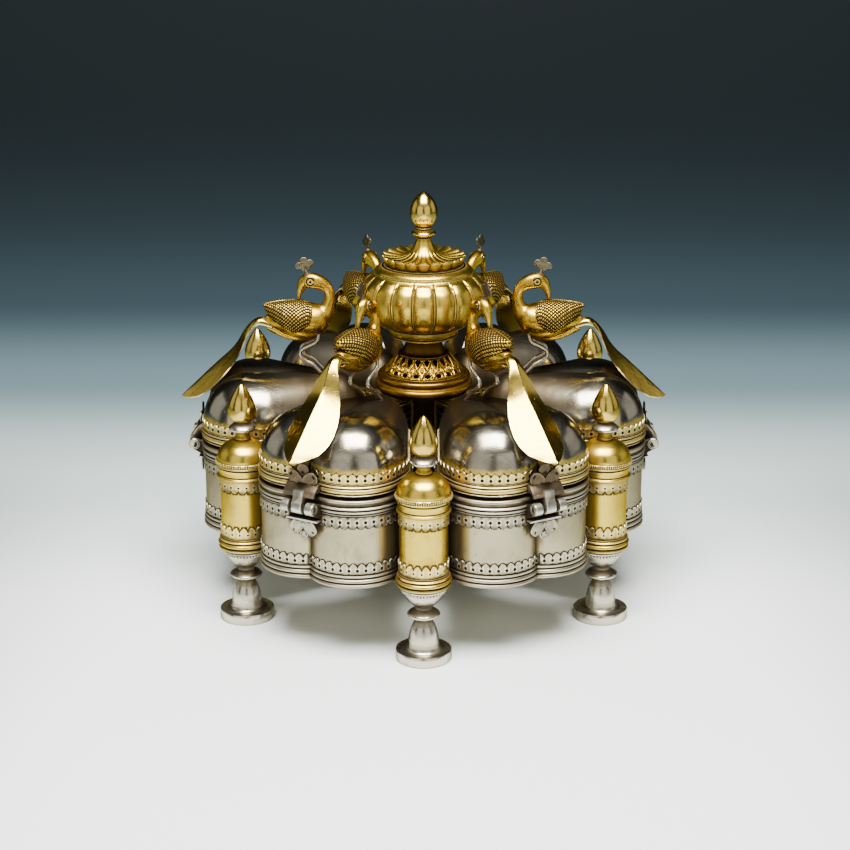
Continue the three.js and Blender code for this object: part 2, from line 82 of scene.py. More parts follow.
def place_camera():
    data = bpy.data.cameras.new("camera")
    data.lens = 88.33
    data.shift_x = 0.0015
    data.clip_start = 0.01
    camera = bpy.data.objects.new("camera", data)
    camera.location = (0, -0.941, 0.3815)
    aim = Vector((0, 0, 0.07735)) - camera.location
    camera.rotation_euler = aim.to_track_quat("-Z", "Y").to_euler()
    bpy.context.scene.collection.objects.link(camera)
    bpy.context.scene.camera = camera


def soft_light(name, place, aim, width, height, watts, colour=(1, 1, 1)):
    data = bpy.data.lights.new(name, "AREA")
    data.shape = "RECTANGLE"
    data.size, data.size_y = width, height
    data.energy = watts
    data.color = colour
    lamp = bpy.data.objects.new(name, data)
    lamp.location = place
    lamp.rotation_euler = (Vector(aim) - Vector(place)).to_track_quat("-Z", "Y").to_euler()
    bpy.context.scene.collection.objects.link(lamp)


def light_the_scene():
    soft_light("overhead softbox", (0, -0.34, 0.93), (0, -0.10, 0), 0.74, 0.50, 44, (1, 0.99, 0.96))
    for side in (1, -1):
        soft_light("front diffuser", (0.60 * side, -0.98, 0.40), (0, 0, 0.1), 0.95, 0.85, 3.2)
        soft_light("side reflector", (1.15 * side, 0.1, 0.45), (0, 0, 0.1), 0.9, 0.8, 1.6)
    world = bpy.data.worlds.new("dim studio")
    world.use_nodes = True
    world.node_tree.nodes["Background"].inputs["Color"].default_value = (0.02, 0.024, 0.028, 1)
    world.node_tree.nodes["Background"].inputs["Strength"].default_value = 1.0
    bpy.context.scene.world = world


# ---------- shader building blocks


def add_node(tree, kind, **values):
    """New node. A value goes to the property of that name, or else to the input socket of that name."""
    made = tree.nodes.new(kind)
    for key, value in values.items():
        if hasattr(made, key) and key not in made.inputs:
            setattr(made, key, value)
        elif isinstance(value, bpy.types.NodeSocket):
            tree.links.new(value, made.inputs[key])
        else:
            made.inputs[key].default_value = value
    return made


def maths(tree, operation, first, second=None, clamp=False):
    made = tree.nodes.new("ShaderNodeMath")
    made.operation = operation
    made.use_clamp = clamp
    for socket, value in zip(made.inputs, (first, second)):
        if value is None:
            continue
        if isinstance(value, bpy.types.NodeSocket):
            tree.links.new(value, socket)
        else:
            socket.default_value = value
    return made.outputs[0]


def blend_colour(tree, share, first, second):
    made = tree.nodes.new("ShaderNodeMix")
    made.data_type = "RGBA"
    for index, value in ((0, share), (6, first), (7, second)):
        if isinstance(value, bpy.types.NodeSocket):
            tree.links.new(value, made.inputs[index])
        else:
            made.inputs[index].default_value = value if index == 0 else (*value, 1)
    return made.outputs[2]


def ramp_between(tree, value, low, high, to_low=0.0, to_high=1.0):
    made = tree.nodes.new("ShaderNodeMapRange")
    made.interpolation_type = "SMOOTHSTEP"
    tree.links.new(value, made.inputs["Value"])
    for name, number in (("From Min", low), ("From Max", high), ("To Min", to_low), ("To Max", to_high)):
        if isinstance(number, bpy.types.NodeSocket):
            tree.links.new(number, made.inputs[name])
        else:
            made.inputs[name].default_value = number
    return made.outputs[0]


def ramp_straight(tree, value, low, high):
    made = add_node(tree, "ShaderNodeMapRange", Value=value)
    made.inputs["From Min"].default_value, made.inputs["From Max"].default_value = low, high
    return made.outputs[0]


def new_group(name, inputs, outputs):
    tree = bpy.data.node_groups.new(name, "ShaderNodeTree")
    for label, default in inputs.items():
        socket = tree.interface.new_socket(label, in_out="INPUT", socket_type="NodeSocketFloat")
        socket.default_value = default
    for label in outputs:
        tree.interface.new_socket(label, in_out="OUTPUT", socket_type="NodeSocketFloat")
    return tree, tree.nodes.new("NodeGroupInput").outputs, tree.nodes.new("NodeGroupOutput").inputs


def tarnish_group():
    """Where age and shade show: dark grime in the recesses, partly patina and partly painted shade; painted shade in
    sheltered places and towards the middle of the object; cloudy stains on open metal; and bright worn edges.
    """
    tree, given, result = new_group(
        "tarnish", {"Crevice": 1.0, "Clouds": 0.3, "Cloud Size": 60.0, "Wear": 0.6, "Inward": 0.0,
                    "Shelter": 0.7},
        ("Grime And Shade", "Stain And Shade", "Worn"))
    place = add_node(tree, "ShaderNodeTexCoord").outputs["Object"]
    clouds = add_node(tree, "ShaderNodeTexNoise", Vector=place, Detail=6.0, Roughness=0.62, Distortion=0.4)
    tree.links.new(given["Cloud Size"], clouds.inputs["Scale"])
    specks = add_node(tree, "ShaderNodeTexNoise", Vector=place, Scale=900.0, Detail=3.0, Roughness=0.7)
    # Grime and painted shade: recess, the ray-cast closeness of surfaces near by, darkens crevices, holes and grooves;
    # partly patina, partly painted shade.
    recess = add_node(tree, "ShaderNodeAttribute", attribute_name="recess").outputs["Fac"]
    edge = add_node(tree, "ShaderNodeAttribute", attribute_name="edge").outputs["Fac"]
    broken = maths(tree, "ADD", recess, maths(tree, "MULTIPLY", maths(tree, "SUBTRACT", specks.outputs["Fac"], 0.5), 0.35))
    broken = maths(tree, "ADD", broken, maths(tree, "MULTIPLY", maths(tree, "SUBTRACT", clouds.outputs["Fac"], 0.5), 0.5))
    grime_and_shade = maths(tree, "MULTIPLY", ramp_between(tree, broken, 0.08, 0.46), given["Crevice"], clamp=True)
    cloudy = ramp_between(tree, clouds.outputs["Fac"], 0.46, 0.74)
    level = add_node(tree, "ShaderNodeVectorMath", operation="MULTIPLY")
    tree.links.new(place, level.inputs[0])
    level.inputs[1].default_value = (1, 1, 0)
    apart = add_node(tree, "ShaderNodeVectorMath", operation="LENGTH")
    tree.links.new(level.outputs[0], apart.inputs[0])
    spread = maths(tree, "MULTIPLY", maths(tree, "SUBTRACT", clouds.outputs["Fac"], 0.5), 0.05)
    # Painted shade: the stain grows towards the middle of the object, where the parts shade each other.
    inward = ramp_between(tree, maths(tree, "ADD", apart.outputs["Value"], spread), 0.084, 0.052)
    stain_and_shade = maths(tree, "MULTIPLY", cloudy, given["Clouds"])
    stain_and_shade = maths(tree, "ADD", stain_and_shade, maths(tree, "MULTIPLY", inward, given["Inward"]), clamp=True)
    # Painted shade: shelter, how closed in a point is by surfaces up to 16 mm away, turns open metal to stain and
    # grime; it stands for the shade between the parts as well as tarnish there.
    sheltered = add_node(tree, "ShaderNodeAttribute", attribute_name="shelter").outputs["Fac"]
    sheltered = maths(tree, "ADD", sheltered, maths(tree, "MULTIPLY", spread, 3.0))
    deep = maths(tree, "MULTIPLY", ramp_between(tree, sheltered, 0.22, 0.55), given["Shelter"])
    grime_and_shade = maths(tree, "MAXIMUM", grime_and_shade, deep)
    sheltered = maths(tree, "MULTIPLY", ramp_between(tree, sheltered, 0.04, 0.28), given["Shelter"])
    stain_and_shade = maths(tree, "MAXIMUM", stain_and_shade, sheltered)
    worn = ramp_between(tree, maths(tree, "ADD", edge, maths(tree, "MULTIPLY", specks.outputs["Fac"], 0.3)), 0.3, 0.75)
    tree.links.new(grime_and_shade, result["Grime And Shade"])
    tree.links.new(stain_and_shade, result["Stain And Shade"])
    tree.links.new(maths(tree, "MULTIPLY", worn, given["Wear"], clamp=True), result["Worn"])
    return tree


def marks_group():
    """Hand finish: fine scratches, small pits and the slow waves that hammering leaves."""
    tree, given, result = new_group(
        "hand finish", {"Scratches": 0.5, "Pits": 0.5, "Waves": 0.5}, ("Height", "Dull"))
    place = add_node(tree, "ShaderNodeTexCoord").outputs["Object"]
    scratched = None
    for turn, fine in (((0.3, 0.2, 0.5), 1300.0), ((1.4, 0.7, 2.1), 1700.0), ((2.2, 1.9, 0.9), 1500.0)):
        turned = add_node(tree, "ShaderNodeMapping", Vector=place, Rotation=turn, Scale=(60.0, fine, 60.0))
        lines = add_node(tree, "ShaderNodeTexNoise", Vector=turned.outputs[0], Scale=1.0, Detail=2.0)
        thin = ramp_between(tree, lines.outputs["Fac"], 0.66, 0.74)
        scratched = thin if scratched is None else maths(tree, "MAXIMUM", scratched, thin)
    scratches = maths(tree, "MULTIPLY", scratched, given["Scratches"])
    cells = add_node(tree, "ShaderNodeTexVoronoi", Vector=place, Scale=520.0)
    rare = ramp_between(tree, cells.outputs["Color"], 0.72, 0.8)
    dots = maths(tree, "MULTIPLY", ramp_between(tree, cells.outputs["Distance"], 0.12, 0.26, 1.0, 0.0), rare)
    pits = maths(tree, "MULTIPLY", dots, given["Pits"])
    waves = add_node(tree, "ShaderNodeTexNoise", Vector=place, Scale=130.0, Detail=2.0)
    raised = maths(tree, "MULTIPLY", waves.outputs["Fac"], maths(tree, "MULTIPLY", given["Waves"], 6.0))
    height = maths(tree, "SUBTRACT", raised, maths(tree, "ADD", maths(tree, "MULTIPLY", scratches, 0.25), pits))
    tree.links.new(height, result["Height"])
    tree.links.new(maths(tree, "ADD", scratches, pits, clamp=True), result["Dull"])
    return tree


GROUPS = {}


def aged_and_shaded_metal(name, tone, stain_and_shade_tone, grime_and_shade_tone, roughness, crevice=1.0, clouds=0.3, cloud_size=60.0, wear=0.6,
               worn_tone=None, scratches=0.4, pits=0.4, waves=0.4, relief=0.00006, inward=0.0, gilt_foot=None,
               shelter=0.75):
    """Metal that is stained by age, grimy in its recesses and rubbed bright on its edges, and darkened there and in
    sheltered places with painted shade.

    inward paints shade on it towards the middle of the object. gilt_foot is a tone that it takes on near the lid's
    band.
    """
    made = bpy.data.materials.new(name)
    made.use_nodes = True
    tree = made.node_tree
    shader = tree.nodes["Principled BSDF"]
    age_and_shade = add_node(tree, "ShaderNodeGroup", node_tree=GROUPS["tarnish"])
    finish = add_node(tree, "ShaderNodeGroup", node_tree=GROUPS["marks"])
    for group, values in ((age_and_shade, {"Crevice": crevice, "Clouds": clouds, "Cloud Size": cloud_size, "Wear": wear,
                                 "Inward": inward, "Shelter": shelter}),
                          (finish, {"Scratches": scratches, "Pits": pits, "Waves": waves})):
        for key, value in values.items():
            group.inputs[key].default_value = value
    # Stain and painted shade: this tone takes the cloudy stains and also the painted shade in sheltered places and
    # towards the middle.
    colour = blend_colour(tree, age_and_shade.outputs["Stain And Shade"], tone, stain_and_shade_tone)
    if gilt_foot:
        place = add_node(tree, "ShaderNodeTexCoord").outputs["Object"]
        ragged = add_node(tree, "ShaderNodeTexNoise", Vector=place, Scale=260.0, Detail=3.0).outputs["Fac"]
        height = maths(tree, "ADD", add_node(tree, "ShaderNodeSeparateXYZ", Vector=place).outputs["Z"],
                       maths(tree, "MULTIPLY", ragged, 0.003))
        gilded = ramp_between(tree, height, 0.0905, 0.0893)
        colour = blend_colour(tree, gilded, colour, gilt_foot)
    colour = blend_colour(tree, age_and_shade.outputs["Worn"], colour, worn_tone or tuple(min(1, 1.12 * c) for c in tone))
    dulled = maths(tree, "MULTIPLY", finish.outputs["Dull"], 0.35)
    colour = blend_colour(tree, dulled, colour, stain_and_shade_tone)
    # Grime and painted shade: this tone fills the recesses and the most sheltered places.
    colour = blend_colour(tree, age_and_shade.outputs["Grime And Shade"], colour, grime_and_shade_tone)
    tree.links.new(colour, shader.inputs["Base Color"])
    rough = maths(tree, "ADD", roughness, maths(tree, "MULTIPLY", age_and_shade.outputs["Stain And Shade"], 0.22))
    rough = maths(tree, "ADD", rough, maths(tree, "MULTIPLY", age_and_shade.outputs["Grime And Shade"], 0.35))
    rough = maths(tree, "ADD", rough, maths(tree, "MULTIPLY", dulled, 0.3))
    rough = maths(tree, "SUBTRACT", rough, maths(tree, "MULTIPLY", age_and_shade.outputs["Worn"], 0.08), clamp=True)
    tree.links.new(rough, shader.inputs["Roughness"])
    metallic = maths(tree, "SUBTRACT", 1.0, maths(tree, "MULTIPLY", age_and_shade.outputs["Grime And Shade"], 0.55), clamp=True)
    tree.links.new(metallic, shader.inputs["Metallic"])
    shader.inputs["Specular Tint"].default_value = (*[0.2 + 0.35 * c for c in tone], 1)
    bump = add_node(tree, "ShaderNodeBump", Height=finish.outputs["Height"], Distance=relief, Strength=1.0)
    tree.links.new(bump.outputs["Normal"], shader.inputs["Normal"])
    return made


def floor_with_painted_shade():
    made = bpy.data.materials.new("floor with painted shade")
    made.use_nodes = True
    tree = made.node_tree
    shader = tree.nodes["Principled BSDF"]
    place = add_node(tree, "ShaderNodeTexCoord").outputs["Object"]
    split = add_node(tree, "ShaderNodeSeparateXYZ", Vector=place)
    away = maths(tree, "ADD", split.outputs["Y"], split.outputs["Z"])
    # Painted shade: the floor's colour runs from pale in front to near black up the sweep behind, standing in for the
    # light falling off.
    painted_falloff = tree.nodes.new("ShaderNodeValToRGB")
    tones = painted_falloff.color_ramp
    tones.interpolation = "EASE"
    stops = ((0.0, (0.80, 0.85, 0.83)), (0.16, (0.46, 0.54, 0.53)), (0.33, (0.105, 0.165, 0.190)),
             (0.51, (0.025, 0.050, 0.064)), (1.0, (0.006, 0.013, 0.016)))
    while len(tones.elements) < len(stops):
        tones.elements.new(0.5)
    for element, (at, tone) in zip(tones.elements, stops):
        element.position, element.color = at, (*tone, 1)
    tree.links.new(ramp_straight(tree, away, -0.05, 1.1), painted_falloff.inputs["Fac"])
    # Painted shade: the floor beside the object and in front of it is darker, so that the box walls reflect it darker.
    painted_side_shade = ramp_between(tree, maths(tree, "ABSOLUTE", split.outputs["X"]), 0.125, 0.32)
    in_front = ramp_between(tree, split.outputs["Y"], 0.30, 0.02)
    painted_side_shade = maths(tree, "MULTIPLY", maths(tree, "MULTIPLY", painted_side_shade, in_front), 0.85)
    colour = blend_colour(tree, painted_side_shade, painted_falloff.outputs["Color"], (0.10, 0.115, 0.115))
    tree.links.new(colour, shader.inputs["Base Color"])
    shader.inputs["Roughness"].default_value = 0.7
    return made


def build_stage():
    """Floor that sweeps up behind the object."""
    rows = []
    for y in np.linspace(-2.2, 0.75, 12):
        rows.append((y, -0.0002))
    for turn in np.linspace(0, math.pi / 2, 16)[1:]:
        rows.append((0.75 + 0.6 * math.sin(turn), 0.6 - 0.6 * math.cos(turn)))
    rows.append((1.35, 2.2))
    points = [(x, y, z) for y, z in rows for x in (-2.5, 2.5)]
    faces = [(2 * i, 2 * i + 1, 2 * i + 3, 2 * i + 2) for i in range(len(rows) - 1)]
    mesh = bpy.data.meshes.new("floor")
    mesh.from_pydata(points, [], faces)
    mesh.polygons.foreach_set("use_smooth", [True] * len(faces))
    floor = bpy.data.objects.new("floor", mesh)
    mesh.materials.append(floor_with_painted_shade())
    bpy.context.scene.collection.objects.link(floor)


# ---------- shaping


def flow(points, steps=6):
    """Smooth line through points, with that many steps between each two."""
    p = np.array(points, float)
    p = np.vstack([2 * p[0] - p[1], p, 2 * p[-1] - p[-2]])
    out = []
    for i in range(1, len(p) - 2):
        for t in np.linspace(0, 1, steps, endpoint=False):
            out.append(0.5 * (2 * p[i] + (p[i + 1] - p[i - 1]) * t
                              + (2 * p[i - 1] - 5 * p[i] + 4 * p[i + 1] - p[i + 2]) * t ** 2
                              + (3 * p[i] - p[i - 1] - 3 * p[i + 1] + p[i + 2]) * t ** 3))
    out.append(p[-2])
    return [tuple(q) for q in out]


def reed(low, high, inner, outer, steps=7):
    """Half-round reed on a wall at inner, standing out to outer, from low to high."""
    out = []
    for t in np.linspace(-math.pi / 2, math.pi / 2, steps):
        out.append((inner + (outer - inner) * math.cos(t), (low + high) / 2 + (high - low) / 2 * math.sin(t)))
    return out


def bands(rows, count, around=True):
    """Quads between rows of points that run round."""
    i, j = np.meshgrid(np.arange(rows - 1), np.arange(count if around else count - 1), indexing="ij")
    low, nxt = i * count, (j + 1) % count
    return np.stack([low + j, low + nxt, low + count + nxt, low + count + j], -1).reshape(-1, 4).tolist()


def lathe(profile, sides=72, spin=0.0):
    """Turned shape round z from rows of radius and height."""
    turn = spin + np.linspace(0, 2 * math.pi, sides, endpoint=False)
    rings = [np.column_stack([r * np.cos(turn), r * np.sin(turn), np.full(sides, z)]) for r, z in profile]
    return np.concatenate(rings), bands(len(profile), sides)


def piece(name, points, faces, materials, crease=32.0, shift=(0, 0, 0), shade_and_grime=None):
    """Mesh object from millimetre points, welded, with its faces turned outwards. shade_and_grime says which points
    stay black, as painted shade and grime.
    """
    mesh = bpy.data.meshes.new(name)
    mesh.from_pydata((np.asarray(points, float) + shift) * MM, [], faces)
    if shade_and_grime is not None:
        note(mesh, "shade_and_grime", shade_and_grime)
    shape = bmesh.new()
    shape.from_mesh(mesh)
    bmesh.ops.remove_doubles(shape, verts=shape.verts, dist=2e-6)
    bmesh.ops.dissolve_degenerate(shape, dist=1e-7, edges=shape.edges)
    bmesh.ops.recalc_face_normals(shape, faces=shape.faces)
    shape.to_mesh(mesh)
    shape.free()
    return dress(name, mesh, materials, crease)


def dress(name, mesh, materials, crease=32.0):
    mesh.materials.clear()
    for material in materials if isinstance(materials, (list, tuple)) else [materials]:
        mesh.materials.append(material)
    mesh.shade_smooth()
    mesh.set_sharp_from_angle(angle=math.radians(crease))
    made = bpy.data.objects.new(name, mesh)
    bpy.context.scene.collection.objects.link(made)
    return made


def joined(name, parts):
    """One object from several, each kept as it is."""
    shape = bmesh.new()
    materials = []
    for part in parts:
        before = len(shape.faces)
        shape.from_mesh(part.data)
        shape.faces.ensure_lookup_table()
        index = [materials.index(m) if m in materials else materials.append(m) or len(materials) - 1
                 for m in part.data.materials]
        for face in shape.faces[before:]:
            face.material_index = index[min(face.material_index, len(index) - 1)]
    mesh = bpy.data.meshes.new(name)
    shape.to_mesh(mesh)
    shape.free()
    for part in parts:
        bpy.data.objects.remove(part)
    for material in materials:
        mesh.materials.append(material)
    made = bpy.data.objects.new(name, mesh)
    bpy.context.scene.collection.objects.link(made)
    return made


# ---------- rows of repeated shapes


def row_tree():
    """Repeats one shape along a line of points, facing the way that the line's points say."""
    tree = bpy.data.node_groups.new("row along a line", "GeometryNodeTree")
    face = tree.interface
    face.new_socket("Line", in_out="INPUT", socket_type="NodeSocketGeometry")
    face.new_socket("Shape", in_out="INPUT", socket_type="NodeSocketObject")
    count = face.new_socket("Count", in_out="INPUT", socket_type="NodeSocketInt")
    count.default_value = 12
    face.new_socket("Size", in_out="INPUT", socket_type="NodeSocketFloat").default_value = 1.0
    face.new_socket("Unevenness", in_out="INPUT", socket_type="NodeSocketFloat").default_value = 0.0
    face.new_socket("Weld", in_out="INPUT", socket_type="NodeSocketFloat").default_value = 0.0
    face.new_socket("Material", in_out="INPUT", socket_type="NodeSocketMaterial")
    face.new_socket("Row", in_out="OUTPUT", socket_type="NodeSocketGeometry")
    given, result = tree.nodes.new("NodeGroupInput"), tree.nodes.new("NodeGroupOutput")
    link = tree.links.new
    line = tree.nodes.new("GeometryNodeMeshToCurve")
    link(given.outputs["Line"], line.inputs[0])
    even = tree.nodes.new("GeometryNodeResampleCurve")
    link(line.outputs[0], even.inputs["Curve"])
    link(given.outputs["Count"], even.inputs["Count"])
    facing = tree.nodes.new("GeometryNodeInputNamedAttribute")
    facing.data_type = "FLOAT_VECTOR"
    facing.inputs["Name"].default_value = "facing"
    inward = tree.nodes.new("ShaderNodeVectorMath")
    inward.operation = "SCALE"
    inward.inputs["Scale"].default_value = -1.0
    link(facing.outputs[0], inward.inputs[0])
    turn = tree.nodes.new("FunctionNodeAlignRotationToVector")
    turn.axis, turn.pivot_axis = "Y", "Z"
    link(inward.outputs[0], turn.inputs["Vector"])
    shape = tree.nodes.new("GeometryNodeObjectInfo")
    link(given.outputs["Shape"], shape.inputs["Object"])
    chance = tree.nodes.new("FunctionNodeRandomValue")
    chance.data_type = "FLOAT"
    chance.inputs[2].default_value, chance.inputs[3].default_value = -1.0, 1.0
    chance.inputs["Seed"].default_value = 7
    uneven = tree.nodes.new("ShaderNodeMath")
    uneven.operation = "MULTIPLY_ADD"
    link(chance.outputs[1], uneven.inputs[0])
    link(given.outputs["Unevenness"], uneven.inputs[1])
    link(given.outputs["Size"], uneven.inputs[2])
    place = tree.nodes.new("GeometryNodeInstanceOnPoints")
    link(even.outputs[0], place.inputs["Points"])
    link(shape.outputs["Geometry"], place.inputs["Instance"])
    link(turn.outputs[0], place.inputs["Rotation"])
    link(uneven.outputs[0], place.inputs["Scale"])
    real = tree.nodes.new("GeometryNodeRealizeInstances")
    link(place.outputs[0], real.inputs[0])
    weld = tree.nodes.new("GeometryNodeMergeByDistance")
    link(real.outputs[0], weld.inputs["Geometry"])
    link(given.outputs["Weld"], weld.inputs["Distance"])
    coat = tree.nodes.new("GeometryNodeSetMaterial")
    link(weld.outputs[0], coat.inputs[0])
    link(given.outputs["Material"], coat.inputs["Material"])
    link(coat.outputs[0], result.inputs[0])
    return tree


def repeat_along(name, shape, line, facing, count, material, size=1.0, unevenness=0.0, weld=0.0, closed=True):
    """Rows of one shape along a line of millimetre points, as a plain mesh object."""
    mesh = bpy.data.meshes.new(name)
    total = len(line)
    edges = [(i, (i + 1) % total) for i in range(total if closed else total - 1)]
    mesh.from_pydata(np.asarray(line, float) * MM, edges, [])
    ways = mesh.attributes.new("facing", "FLOAT_VECTOR", "POINT")
    ways.data.foreach_set("vector", np.asarray(facing, np.float32).ravel())
    carrier = bpy.data.objects.new(name + " line", mesh)
    bpy.context.scene.collection.objects.link(carrier)
    modifier = carrier.modifiers.new("row", "NODES")
    modifier.node_group = GROUPS["row"]
    values = {"Shape": shape, "Count": count, "Size": size, "Unevenness": unevenness, "Weld": weld * MM,
              "Material": material}
    for item in GROUPS["row"].interface.items_tree:
        if item.in_out == "INPUT" and item.name in values:
            modifier[item.identifier] = values[item.name]
    bpy.context.view_layer.update()
    evaluated = carrier.evaluated_get(bpy.context.evaluated_depsgraph_get())
    made = dress(name, bpy.data.meshes.new_from_object(evaluated), material, 40)
    bpy.data.objects.remove(carrier)
    return made


def hidden_shape(name, points, faces, shade_and_grime=()):
    """A shape to repeat, kept out of the scene. shade_and_grime names the faces whose corners stay black, as painted
    shade.
    """
    mesh = bpy.data.meshes.new(name)
    mesh.from_pydata(np.asarray(points, float) * MM, [], faces)
    dark = mesh.attributes.new("shade_and_grime", "FLOAT", "POINT")
    values = np.zeros(len(points), np.float32)
    for i in shade_and_grime:
        values[i] = 1.0
    dark.data.foreach_set("value", values)
    mesh.shade_smooth()
    return bpy.data.objects.new(name, mesh)


def scallop(name, pitch, height, depth, sheet, up=True, round_radius=60.0, hole=0.82, drop=1.25):
    """One pitch of a strip, from crown to crown, with its punched hole under the notch between them."""
    half, steps, lip = pitch / 2, 4, 0.12
    edge = np.linspace(-half, half, 2 * steps + 1)[::-1]

    def top(x, lower=0.0):
        return height - lower - depth * (1 - np.abs(x) / half) ** 2.3

    def layer(y, lower):
        rim = np.column_stack([edge, top(edge, lower)])
        rest = [(-half, height * 0.45), (-half, 0.0), (0.0, 0.0), (half, 0.0), (half, height * 0.45)]
        return np.column_stack([*np.vstack([rim, rest]).T, np.full(len(rim) + 5, y)])

    centre = np.array([0.0, height - depth - drop])
    layers = [layer(0.3, 0), layer(-0.5 * sheet, 0), layer(-sheet - lip, 0.2), layer(-sheet, 0.5)]
    away = layers[-1][:, :2] - centre
    ring = centre + hole * away / np.linalg.norm(away, axis=1)[:, None]
    layers += [np.column_stack([ring, np.full(len(ring), y)]) for y in (-sheet, 0.12 - sheet, 0.2)]
    count = len(layers[0])
    sides = {2 * steps, 2 * steps + 1, 2 * steps + 4, count - 1}
    faces = [tuple(range(count))[::-1]]
    for k in range(6):
        for j in range(count):
            if k < 3 and j in sides:
                continue
            nxt = (j + 1) % count
            faces.append((k * count + j, k * count + nxt, (k + 1) * count + nxt, (k + 1) * count + j))
    faces.append(tuple(range(6 * count, 7 * count)))
    x, z, y = np.concatenate(layers).T
    if not up:
        z = height - z
        faces = [tuple(reversed(f)) for f in faces]
    turn, out = x / round_radius, round_radius - y
    points = np.column_stack([out * np.sin(turn), round_radius - out * np.cos(turn), z])
    # Painted shade: the deep sides and the bottom of the punched hole are kept black.
    return hidden_shape(name, points, faces, range(5 * count, 7 * count))


def ball(radius, rings=5, sides=8, squash=1.0):
    profile = [(radius * math.sin(t), -radius * squash * math.cos(t)) for t in np.linspace(0, math.pi, rings + 1)]
    points, faces = lathe(profile, sides)
    shape = bmesh.new()
    mesh = bpy.data.meshes.new("pearl")
    mesh.from_pydata(points * MM, [], faces)
    shape.from_mesh(mesh)
    bmesh.ops.remove_doubles(shape, verts=shape.verts, dist=1e-7)
    bmesh.ops.recalc_face_normals(shape, faces=shape.faces)
    shape.to_mesh(mesh)
    shape.free()
    mesh.shade_smooth()
    return bpy.data.objects.new("pearl", mesh)


# ---------- plan of a box


def half_plan(inset, dense=1.0):
    """Half of the heart-shaped outline, from the cleft round a lobe and flank to the inner end."""
    radius, nose = LOBE_RADIUS - inset, NOSE_RADIUS - inset
    cleft = math.asin(LOBE_SIDE / radius)
    n = [max(3, round(dense * k)) for k in (56, 5, 14, 26, 18)]

    def bow(cx, cy, r, a, b, steps):
        t = np.linspace(a, b, steps, endpoint=False)
        return np.column_stack([cx + r * np.cos(t), cy + r * np.sin(t)])

    wide = math.radians(120)
    start = np.array([SHOULDER_OUT + radius * math.cos(wide), LOBE_SIDE + radius * math.sin(wide)])
    end = np.array([NOSE_OUT + nose * math.cos(wide), nose * math.sin(wide)])
    flank = start + np.linspace(0, 1, n[3], endpoint=False)[:, None] * (end - start)
    top = np.linspace(LOBE_OUT, SHOULDER_OUT, n[1], endpoint=False)
    return np.vstack([
        bow(LOBE_OUT, LOBE_SIDE, radius, -cleft, math.pi / 2, n[0]),
        np.column_stack([top, np.full(n[1], LOBE_SIDE + radius)]),
        bow(SHOULDER_OUT, LOBE_SIDE, radius, math.pi / 2, wide, n[2]),
        flank,
        bow(NOSE_OUT, 0, nose, wide, math.pi, n[4]),
        [[NOSE_OUT - nose, 0]],
    ])


def full_plan(inset, dense=1.0):
    half = half_plan(inset, dense)
    back = half[1:-1][::-1] * (1, -1)
    return np.vstack([half, back])


def outward(line):
    """Which way each point of a closed line faces, seen from above."""
    along = np.roll(line, -1, 0) - np.roll(line, 1, 0)
    along /= np.linalg.norm(along, axis=1)[:, None]
    return np.column_stack([along[:, 1], -along[:, 0], np.zeros(len(line))])


def wall_skin(profile, dense=1.0):
    """Walls over the box's plan from rows of inset and height."""
    rows = [np.column_stack([full_plan(inset, dense), np.full(len(full_plan(inset, dense)), z)]) for inset, z in profile]
    return np.concatenate(rows), bands(len(rows), len(rows[0]))


def strip_round_box(name, inset, low, height, depth, material, up=True):
    """Punched strip on the wall, its scallops spaced evenly round the box."""
    line = full_plan(inset)
    pitch = np.linalg.norm(np.roll(line, -1, 0) - line, axis=1).sum() / BOX_SCALLOPS
    tile = scallop(name + " tile", pitch, height, depth, STRIP_SHEET, up)
    rail = np.column_stack([line, np.full(len(line), low)])
    return repeat_along(name, tile, rail, outward(line), BOX_SCALLOPS, material, weld=0.07)


def ring_line(radius, height, axis=(0, -PILLAR_CIRCLE)):
    turn = np.linspace(0, 2 * math.pi, 72, endpoint=False)
    ways = np.column_stack([np.cos(turn), np.sin(turn), np.zeros(72)])
    return ways * (radius, radius, 0) + (*axis, height), ways


def strip_round_pillar(name, radius, low, height, depth, material, up=True):
    tile = scallop(name + " tile", 2 * math.pi * radius / PILLAR_SCALLOPS, height, depth, 0.45, up, radius, 0.55)
    ring, ways = ring_line(radius, low)
    return repeat_along(name, tile, ring, ways, PILLAR_SCALLOPS, material, weld=0.07)


def beads_round(name, shape, radius, height, count, material, unevenness=0.1, axis=(0, -PILLAR_CIRCLE)):
    ring, ways = ring_line(radius, height, axis)
    return repeat_along(name, shape, ring, ways, count, material, 1.0, unevenness)


# ---------- recesses and edges


def surface_arrays(mesh):
    count = len(mesh.vertices)
    place, normal = np.empty(count * 3), np.empty(count * 3)
    mesh.vertices.foreach_get("co", place)
    mesh.vertex_normals.foreach_get("vector", normal)
    return place.reshape(-1, 3), normal.reshape(-1, 3)


def feeler_ways():
    """Directions over a half sphere round +z, more of them near the pole."""
    ways = []
    for lean, count in ((18, 3), (42, 5), (66, 5)):
        for k in range(count):
            turn = 2 * math.pi * (k + 0.37 * lean) / count
            lean_by = math.radians(lean)
            ways.append((math.sin(lean_by) * math.cos(turn), math.sin(lean_by) * math.sin(turn), math.cos(lean_by)))
    return np.array(ways)


